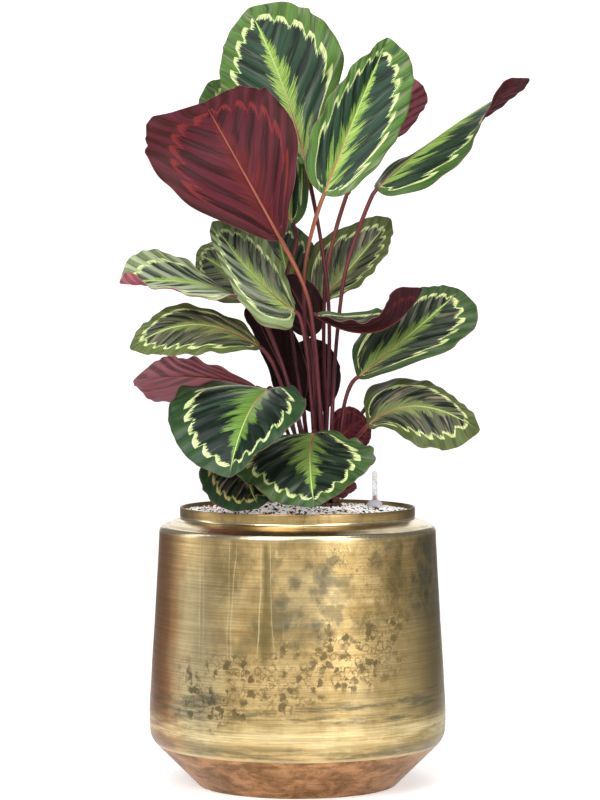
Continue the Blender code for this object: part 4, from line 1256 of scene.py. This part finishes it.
def stalk_route(leaf):
    """Points of the stalk's middle line, close together, from the crown to the blade's base."""
    radius, heading = leaf.foot
    foot = Vector((CROWN[0] + radius * cos(radians(heading)),
                   CROWN[1] + radius * sin(radians(heading)), CROWN[2] + CLEARANCE))
    base = Vector(leaf.base)
    toward = (2 * (Vector(leaf.middle) * 2 - (base + Vector(leaf.tip)) / 2 - base)).normalized()
    rise = Vector((0.0, 0.0, 1.0))
    start = foot + rise * STALK_END
    finish = base - toward * STALK_END
    bend = min(leaf.bend, 0.35 * (finish - start).length)
    stops = [start, finish]
    headings = [rise, toward]
    if leaf.bow:
        stops.insert(1, Vector(leaf.bow))
        headings.insert(1, (finish - start).normalized())
    route = [foot]
    pieces = len(stops) - 1
    for k in range(pieces):
        here, there = stops[k], stops[k + 1]
        reach = (there - here).length / 3
        leave = here + headings[k] * reach
        arrive = there - headings[k + 1] * (bend if k == pieces - 1 else reach)
        route += [cubic(here, leave, arrive, there, i / 40) for i in range(40)]
    return np.array([list(point) for point in route + [finish, base]])


first_route = stalk_route(LEAVES[0])
print("first stalk rises", round(first_route[-1][2] - first_route[0][2], 3), "m")

# %% Sizes along a stalk
STALK_RINGS = 84
RIDGE_RINGS = 32
FOOT_SIZE, SLIM_SIZE, JOINT_SIZE = 0.0036, 0.0025, 0.0028


def stalk_line(leaf):
    """Points, radii and rises (0 to 1 for the stalk, up to 2 for the ridge) from foot to tip."""
    lower = even_steps(stalk_route(leaf), STALK_RINGS - RIDGE_RINGS)
    share_up = np.linspace(0.0, 1.0, len(lower))
    radius = SLIM_SIZE + (FOOT_SIZE - SLIM_SIZE) * (1 - smooth(0.0, 0.45, share_up)) ** 1.3
    radius += (JOINT_SIZE - SLIM_SIZE) * smooth(0.84, 0.90, share_up) * smooth(1.04, 0.97, share_up)
    ridge_along = np.linspace(0.02, 0.93, RIDGE_RINGS)
    midrib, forward, up, right = midrib_frame(leaf, ridge_along)
    ridge_size = 0.0015 * (1 - ridge_along) ** 1.1 * (leaf.half_width / 0.07) ** 0.4 + 0.00025
    ridge = midrib - up * (ridge_size * 0.80 + 0.0008)[:, None]
    return (np.concatenate([lower, ridge]), np.concatenate([radius, ridge_size]),
            np.concatenate([share_up, 1 + ridge_along]))


def stalk_sides(line):
    """Two directions square to the line at each of its points, without a twist."""
    ahead = np.gradient(line, axis=0)
    ahead /= np.linalg.norm(ahead, axis=1, keepdims=True)
    across = np.zeros_like(line)
    side_way = np.cross(ahead[0], (0.3, 1.0, 0.1))
    for i in range(len(line)):
        side_way = side_way - ahead[i] * (side_way @ ahead[i])
        side_way /= np.linalg.norm(side_way)
        across[i] = side_way
    return across, np.cross(ahead, across)


print("a stalk has", STALK_RINGS - RIDGE_RINGS, "rings and its ridge", RIDGE_RINGS)

# %% One stalk
STALK_COLUMNS = 13           # points round a stalk, with the last one on the first
GROOVE_SHARE = 0.16


def close_tube():
    """Joins the long edges of the active rolled grid and fills its two ends."""
    bpy.ops.object.mode_set(mode="EDIT")
    bpy.ops.mesh.select_all(action="SELECT")
    bpy.ops.mesh.remove_doubles(threshold=0.00001)
    bpy.ops.mesh.select_all(action="DESELECT")
    bpy.ops.mesh.select_non_manifold()
    bpy.ops.mesh.fill_holes(sides=0)
    bpy.ops.mesh.select_all(action="SELECT")
    bpy.ops.mesh.normals_make_consistent(inside=False)
    bpy.ops.object.mode_set(mode="OBJECT")
    bpy.ops.object.shade_smooth()


def make_stalk(leaf, number):
    """The stalk and the midrib ridge as one tube."""
    line, radius, rise = stalk_line(leaf)
    across, upright = stalk_sides(line)
    stalk, row, level = flat_grid("calathea_stalk_" + leaf.name, len(line), STALK_COLUMNS)
    angle = (level + 1) * pi
    groove = 1 - GROOVE_SHARE * np.exp(-((angle - pi) / 0.5) ** 2) * (rise[row] < 1)
    size = radius[row] * groove
    points = (line[row] + across[row] * (np.cos(angle) * size)[:, None]
              + upright[row] * (np.sin(angle) * size)[:, None])
    stalk.data.vertices.foreach_set("co", points.astype(np.float32).ravel())
    ruddy = RUDDY.get(leaf.name, 0.05) + 0.001 * number
    write_note(stalk, "rise", np.stack([rise[row], angle / tau, np.full(len(row), ruddy)], axis=1))
    stalk.data.update()
    close_tube()
    return stalk


print("a stalk is rolled from a grid of", STALK_RINGS, "by", STALK_COLUMNS, "points")

# %% [markdown]
# ### Maroon stalks
# Fibres run up a stalk, maroon on most and orange brown below the blade on some, with a green foot.
# One colour for each stalk would need many materials.  The number that each stalk carries turns
# one material from maroon to orange, and the notes of its length and its turn place the fibres.

# %% Stalk material
stem, tree, shader = new_material("stalk_maroon", Roughness=0.38, Specular_IOR_Level=0.22)
rise, round_it, ruddy = note(tree, "rise")
fibre = cloud(vector(round_it * 26.0, rise * 5.0, ruddy * 300.0), 1.0, 3, 0.6)
flush_and_highlight = cloud(vector(round_it * 2.0, rise * 3.0, ruddy * 500.0), 1.0, 2)
orange = blend(fibre.step(0.35, 0.68), paint(122, 62, 44), paint(160, 96, 70))
warmth = rise.step(0.62, 0.92) * ruddy + rise.step(0.99, 1.05) * 0.12
# the fibres run from near-black to light maroon and the flush adds pink: partly the stalks' own
# colour, partly painted shade between the crowded stalks and painted pink highlights
colour = layers(
    blend(fibre.step(0.40, 0.64), paint(12, 4, 5), paint(104, 40, 48)),
    (flush_and_highlight.step(0.45, 0.7) * 0.30, paint(124, 60, 66)),
    (warmth.sum("MINIMUM", 1.0), orange),
    (rise.step(0.20, 0.0) * 0.35, paint(92, 84, 50)),
)
fill(shader, Base_Color=colour, Normal=relief(fibre, 0.0002))
print("nodes in the stalk's material:", len(tree.nodes))

# %% Make the stalks
for number, leaf in enumerate(LEAVES):
    hand_over(make_stalk(leaf, number), "stalk", [stem], "stalk_" + leaf.name)
print("stalks", len(LEAVES))

# %% [markdown]
# ## Granulate
# The top layer is loose crushed mineral, 3 to 5 mm a grain.  Thousands of stones could be scattered
# as particles, but real stones lie close and cover the bed, so they stand on a jittered grid over a
# turned bed, each a roughly broken ball of twenty faces.

# %% Granulate bed
MOUND = [(0.0, 0.3385), (0.035, 0.3385), (0.080, 0.3365), (0.120, 0.3340), (0.1405, 0.3325)]
MOUND_EDGE = MOUND[-1][0]
bed_profile = [(0.0, 0.3176), (0.136, 0.3176), (MOUND_EDGE, 0.3240)] + MOUND[::-1]
bed = turn("granulate_bed", bed_profile, 96)
print("bed faces", len(bed.data.polygons))


# %% Broken balls
def stone_shapes(random, count):
    """A few broken balls, each made from an icosphere whose corners are pushed about."""
    shapes = []
    for _ in range(count):
        bpy.ops.object.select_all(action="DESELECT")
        bpy.ops.mesh.primitive_ico_sphere_add(subdivisions=1, radius=1.0, location=(0, 0, 0))
        ball = bpy.context.object
        corners = np.array([v.co[:] for v in ball.data.vertices])
        faces = np.array([p.vertices[:] for p in ball.data.polygons])
        corners *= random.uniform(0.78, 1.15, (len(corners), 1))
        corners *= random.uniform(0.72, 1.1, 3)
        shapes.append((corners, faces))
        bpy.data.objects.remove(ball, do_unlink=True)
    return shapes


random = np.random.default_rng(7)
shapes = stone_shapes(random, 10)
print("stone shapes", len(shapes), "with", len(shapes[0][1]), "faces each")

# %% Where a stone may lie
COLLAR_GAP = 0.0075          # kept free round the middle of the gauge
CROWN_GAP = 0.0245
tube_low, tube_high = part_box("gauge_tube")
GAUGE_AT = ((tube_low.x + tube_high.x) / 2, (tube_low.y + tube_high.y) / 2)


def is_free(x, y, size):
    """Whether a stone fits between the neck, the gauge and the crown."""
    return ((x * x + y * y) ** 0.5 + size <= MOUND_EDGE
            and np.hypot(x - GAUGE_AT[0], y - GAUGE_AT[1]) >= COLLAR_GAP
            and np.hypot(x - CROWN[0], y - CROWN[1]) >= CROWN_GAP)


def tumbled(first, second):
    """A turn about the x axis and then one about the upright axis."""
    c, s, c2, s2 = cos(first), sin(first), cos(second), sin(second)
    upright = np.array([[c, -s, 0], [s, c, 0], [0, 0, 1]])
    return upright @ np.array([[1, 0, 0], [0, c2, -s2], [0, s2, c2]])


print("gauge stands at", [round(x, 4) for x in GAUGE_AT])


# %% Scatter the stones
def pick(piece):
    """Makes a piece the only one selected."""
    bpy.ops.object.select_all(action="DESELECT")
    piece.select_set(True)
    bpy.context.view_layer.objects.active = piece


STONE_SPACING = 0.0036
ROW_SPACING = STONE_SPACING * 0.866
rows = int(0.141 / ROW_SPACING) + 1
corners, faces, tints, total = [], [], [], 0
for j in range(-rows, rows + 1):
    for i in range(-41, 42):
        x = (i + 0.5 * (j % 2)) * STONE_SPACING + random.uniform(-0.0010, 0.0010)
        y = j * STONE_SPACING * 0.866 + random.uniform(-0.0010, 0.0010)
        size = random.uniform(0.0015, 0.0026)
        if not is_free(x, y, size):
            continue
        shape, sides = shapes[random.integers(len(shapes))]
        spin = tumbled(*random.uniform(0, tau, 2))
        height = np.interp((x * x + y * y) ** 0.5, *zip(*MOUND))
        z = height + random.uniform(-0.0004, 0.0016)
        corners.append(shape @ spin.T * size + (x, y, z))
        faces.append(sides + total)
        total += len(shape)
        tint = [random.uniform(0, 1), random.uniform(0, 1), size]
        tints.append(np.tile(tint, (len(shape), 1)))
mesh = bpy.data.meshes.new("granulate_stones")
mesh.from_pydata(np.concatenate(corners).tolist(), [], np.concatenate(faces).tolist())
stones = bpy.data.objects.new("granulate_stones", mesh)
bpy.context.scene.collection.objects.link(stones)
write_note(stones, "stone", np.concatenate(tints))
pick(stones)
bpy.ops.object.shade_smooth_by_angle(angle=radians(25))
print("stones", len(tints), "with", len(mesh.polygons), "faces")

# %% [markdown]
# ### Colours of the granulate
# About half the stones are white, and the rest pale blue, tan, brown or black.  A material for each
# kind would be one way.  Here each stone carries a random number, and one material reads its kind
# from it.  Every stone glows faintly in its own colour, painted light that brightens the granulate
# in the shade of the leaves.

# %% Stone material
STONE_GLOW = 0.3
mineral, tree, shader = new_material("mineral_granulate", Roughness=0.85, Specular_IOR_Level=0.3)
kind, shade, size = note(tree, "stone")
speck = cloud(own_place(tree), 900, 3, 0.6)
colour = layers(
    blend(shade, paint(255, 254, 250), paint(255, 244, 236)),
    (kind.step(0.50, 0.52), paint(206, 236, 244)),
    (kind.step(0.60, 0.62), paint(240, 212, 190)),
    (kind.step(0.68, 0.70), paint(186, 146, 124)),
    (kind.step(0.72, 0.74), paint(74, 50, 40)),
    (kind.step(0.81, 0.83), paint(24, 18, 16)),
    (speck.step(0.50, 0.78) * 0.35, paint(120, 100, 88)),
)
# the glow is painted light: every stone glows faintly in its own colour
fill(shader, Base_Color=colour, Emission_Color=colour, Emission_Strength=STONE_GLOW,
     Normal=relief(speck, 0.0004))
hand_over(stones, "granulate", [mineral])
print("nodes in the stones' material:", len(tree.nodes))

# %% Painted shade between the stones
shaded_granulate, tree, shader = new_material("granulate_bed", Roughness=0.95)
lumps = tree.nodes.new("ShaderNodeTexVoronoi")
fill(lumps, Vector=own_place(tree), Scale=260)
lump = Value(lumps.outputs["Distance"])
# the dark bed is painted shade in the gaps between the stones
colour = blend(lump.step(0.1, 0.6), paint(56, 42, 35), paint(14, 10, 9))
fill(shader, Base_Color=colour, Normal=relief(lump.flip(), 0.002))
hand_over(bed, "granulate", [shaded_granulate], "top_dressing")
print("nodes in the dust:", len(tree.nodes))

# %% [markdown]
# ## Water gauge
# A clear tube with a red float shows how much water the planter holds.  A tube could be a cylinder
# with a glassy surface, but then it would look solid.  It is turned with a real wall and a float
# chamber below, so that its edges look denser than its middle.

# %% Gauge tube
TUBE_TOP, TUBE_FOOT = tube_high.z, tube_low.z
TUBE_BORE = 0.0026
TUBE_WALL = 0.0009
CHAMBER_TOP = 0.085
INLET = 0.0040               # half width of the hole that lets the water in
chamber = (tube_high.x - tube_low.x) / 2
inside_chamber = chamber - TUBE_WALL

tube_profile = [(0.0, TUBE_TOP - 0.0008), (TUBE_BORE, TUBE_TOP - 0.0010)]
tube_profile += [(TUBE_BORE, CHAMBER_TOP - TUBE_WALL), (inside_chamber, CHAMBER_TOP - TUBE_WALL)]
tube_profile += [(inside_chamber, TUBE_FOOT + TUBE_WALL), (INLET, TUBE_FOOT + TUBE_WALL)]
tube_profile += [(INLET, TUBE_FOOT), (chamber, TUBE_FOOT), (chamber, CHAMBER_TOP)]
tube_profile += [(TUBE_BORE + TUBE_WALL, CHAMBER_TOP)]
tube_profile += arc(TUBE_BORE, TUBE_TOP - TUBE_WALL, TUBE_WALL, 0, 80, 4)
tube_profile += [(TUBE_BORE, TUBE_TOP), (0.0, TUBE_TOP)]
tube = turn("gauge_tube_shell", tube_profile, 40, GAUGE_AT)
print("tube from", round(TUBE_FOOT, 4), "to", round(TUBE_TOP, 4))

# %% Gauge collar
COLLAR_HOLE = 0.0037
COLLAR_FOOT = 0.0095
foot_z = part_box("gauge_collar")[0].z
collar_profile = [(COLLAR_HOLE, foot_z), (COLLAR_HOLE, foot_z + 0.0078)]
collar_profile += [(0.0044, foot_z + 0.0079), (0.0052, foot_z + 0.0074)]
collar_profile += arc(0.0035, foot_z + 0.0012, 0.0060, 72, 8, 8)
collar_profile += [(COLLAR_FOOT, foot_z + 0.0014), (COLLAR_FOOT, foot_z), (COLLAR_HOLE, foot_z)]
collar = turn("gauge_collar_dome", collar_profile, 48, GAUGE_AT)
print("collar faces", len(collar.data.polygons))

# %% Gauge float
LOWEST_TIP = 0.3530          # the red tip still shows above the collar at this height
ROD = 0.0019
FLOAT_GAP = 0.0008
float_top = max(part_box("gauge_float")[1].z, LOWEST_TIP)
float_foot = TUBE_FOOT + TUBE_WALL + 0.0003
swimmer = inside_chamber - FLOAT_GAP
float_profile = [(0.0, float_foot), (swimmer, float_foot), (swimmer, float_foot + 0.030)]
float_profile += [(ROD, float_foot + 0.034), (ROD, float_top - 0.0012)]
float_profile += arc(0.0, float_top - 0.0012, ROD, 0, 90, 4)[1:-1] + [(0.0, float_top)]
tip_piece = turn("gauge_float_tip", float_profile, 24, GAUGE_AT)
print("float tip at", round(float_top, 4))

# %% Gauge marks
MARK_LEVELS = (0.3595, 0.3728)
MARK_WIDTH, MARK_THICKNESS, MARK_HEIGHT = 0.0040, 0.0002, 0.0012
MARK_RADIUS = 0.0036
marks = []
for level in MARK_LEVELS:
    bpy.ops.object.select_all(action="DESELECT")
    bpy.ops.mesh.primitive_cube_add(size=1, location=(*GAUGE_AT, level + MARK_HEIGHT / 2))
    dash = bpy.context.object
    dash.dimensions = (MARK_WIDTH, MARK_THICKNESS, MARK_HEIGHT)
    bpy.ops.object.mode_set(mode="EDIT")
    bpy.ops.mesh.subdivide(number_cuts=7)
    bpy.ops.object.mode_set(mode="OBJECT")
    bpy.ops.object.transform_apply(location=False)
    for point in dash.data.vertices:
        point.co.y -= (MARK_RADIUS ** 2 - point.co.x ** 2) ** 0.5
    marks.append(dash)
pick(marks[0])
marks[1].select_set(True)
bpy.ops.object.join()
bpy.ops.object.transform_apply()
marks = bpy.context.object
marks.name = "gauge_marks"
print("marks at", MARK_LEVELS)

# %% [markdown]
# ### Plastics of the gauge
# The tube is clear, the collar frosted, the float red and the marks yellow.  Glass would bend the
# light too much for so thin a wall, so the clear plastic has a low IOR and is only partly clear.


# %% Gauge materials
def mottled_material(name, scale, first, second, **plain):
    """A material in two close colours, with soft noise between them."""
    material, tree, shader = new_material(name, **plain)
    haze = cloud(own_place(tree), scale, 2)
    fill(shader, Base_Color=blend(haze.step(0.35, 0.7), first, second))
    return material


clear = mottled_material("gauge_clear_plastic", 60, paint(244, 244, 246), paint(252, 252, 253),
                         Roughness=0.15, IOR=1.04, Transmission_Weight=0.8)
frosted = mottled_material("gauge_frosted_plastic", 300, paint(236, 232, 242),
                           paint(252, 250, 254), Roughness=0.35, IOR=1.3,
                           Transmission_Weight=0.45)
red = mottled_material("gauge_float_red", 500, paint(176, 28, 20), paint(206, 44, 30),
                       Roughness=0.35)
yellow = mottled_material("gauge_mark_yellow", 700, paint(226, 196, 70), paint(240, 218, 120),
                          Roughness=0.5)
hand_over(tube, "gauge_clear", [clear], "gauge_tube")
hand_over(collar, "gauge_clear", [frosted], "gauge_collar")
hand_over(tip_piece, "gauge_red", [red], "gauge_float")
hand_over(marks, "gauge_red", [yellow])
print("plastics of the gauge:", [part.name for part in (clear, frosted, red, yellow)])

# %% [markdown]
# ## Inside the planter
# The culture pot, its roots and the granulate round it keep the solid model's shapes, because only
# a cut through the planter would show them.  They still get surfaces of their own.

# %% Hidden pieces
pot_black, tree, shader = new_material("culture_pot_plastic", Roughness=0.5)
mould = cloud(own_place(tree), 260, 3)
colour = blend(mould, paint(34, 34, 36), paint(48, 48, 50))
fill(shader, Base_Color=colour, Normal=relief(mould, 0.0003))

root_brown, tree, shader = new_material("root_felt", Roughness=0.9)
strand = cloud(own_place(tree, (1, 1, 0.3)), 180, 4, 0.6, 1.5)
colour = blend(strand.step(0.4, 0.6), paint(42, 28, 22), paint(98, 76, 58))
fill(shader, Base_Color=colour, Normal=relief(strand, 0.001))

hidden = {"culture_pot": pot_black, "root_ball": root_brown, "granulate_fill": shaded_granulate}
for node, material in hidden.items():
    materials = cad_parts[node].data.materials
    materials.clear()
    materials.append(material)
print("hidden pieces keep their shape:", list(hidden))

# %% [markdown]
# ## Sizes
# The visual model is built to fill the same box as the solid one.  The script prints how far it
# stands proud of the solid one.

# %% Sizes and finish
new_low, new_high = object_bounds()
grown = [round(1000 * (a - b), 1) for a, b in zip(cad_low, new_low)]
grown += [round(1000 * (b - a), 1) for a, b in zip(cad_high, new_high)]
print("visual model stands proud of the solid one by", grown, "mm")
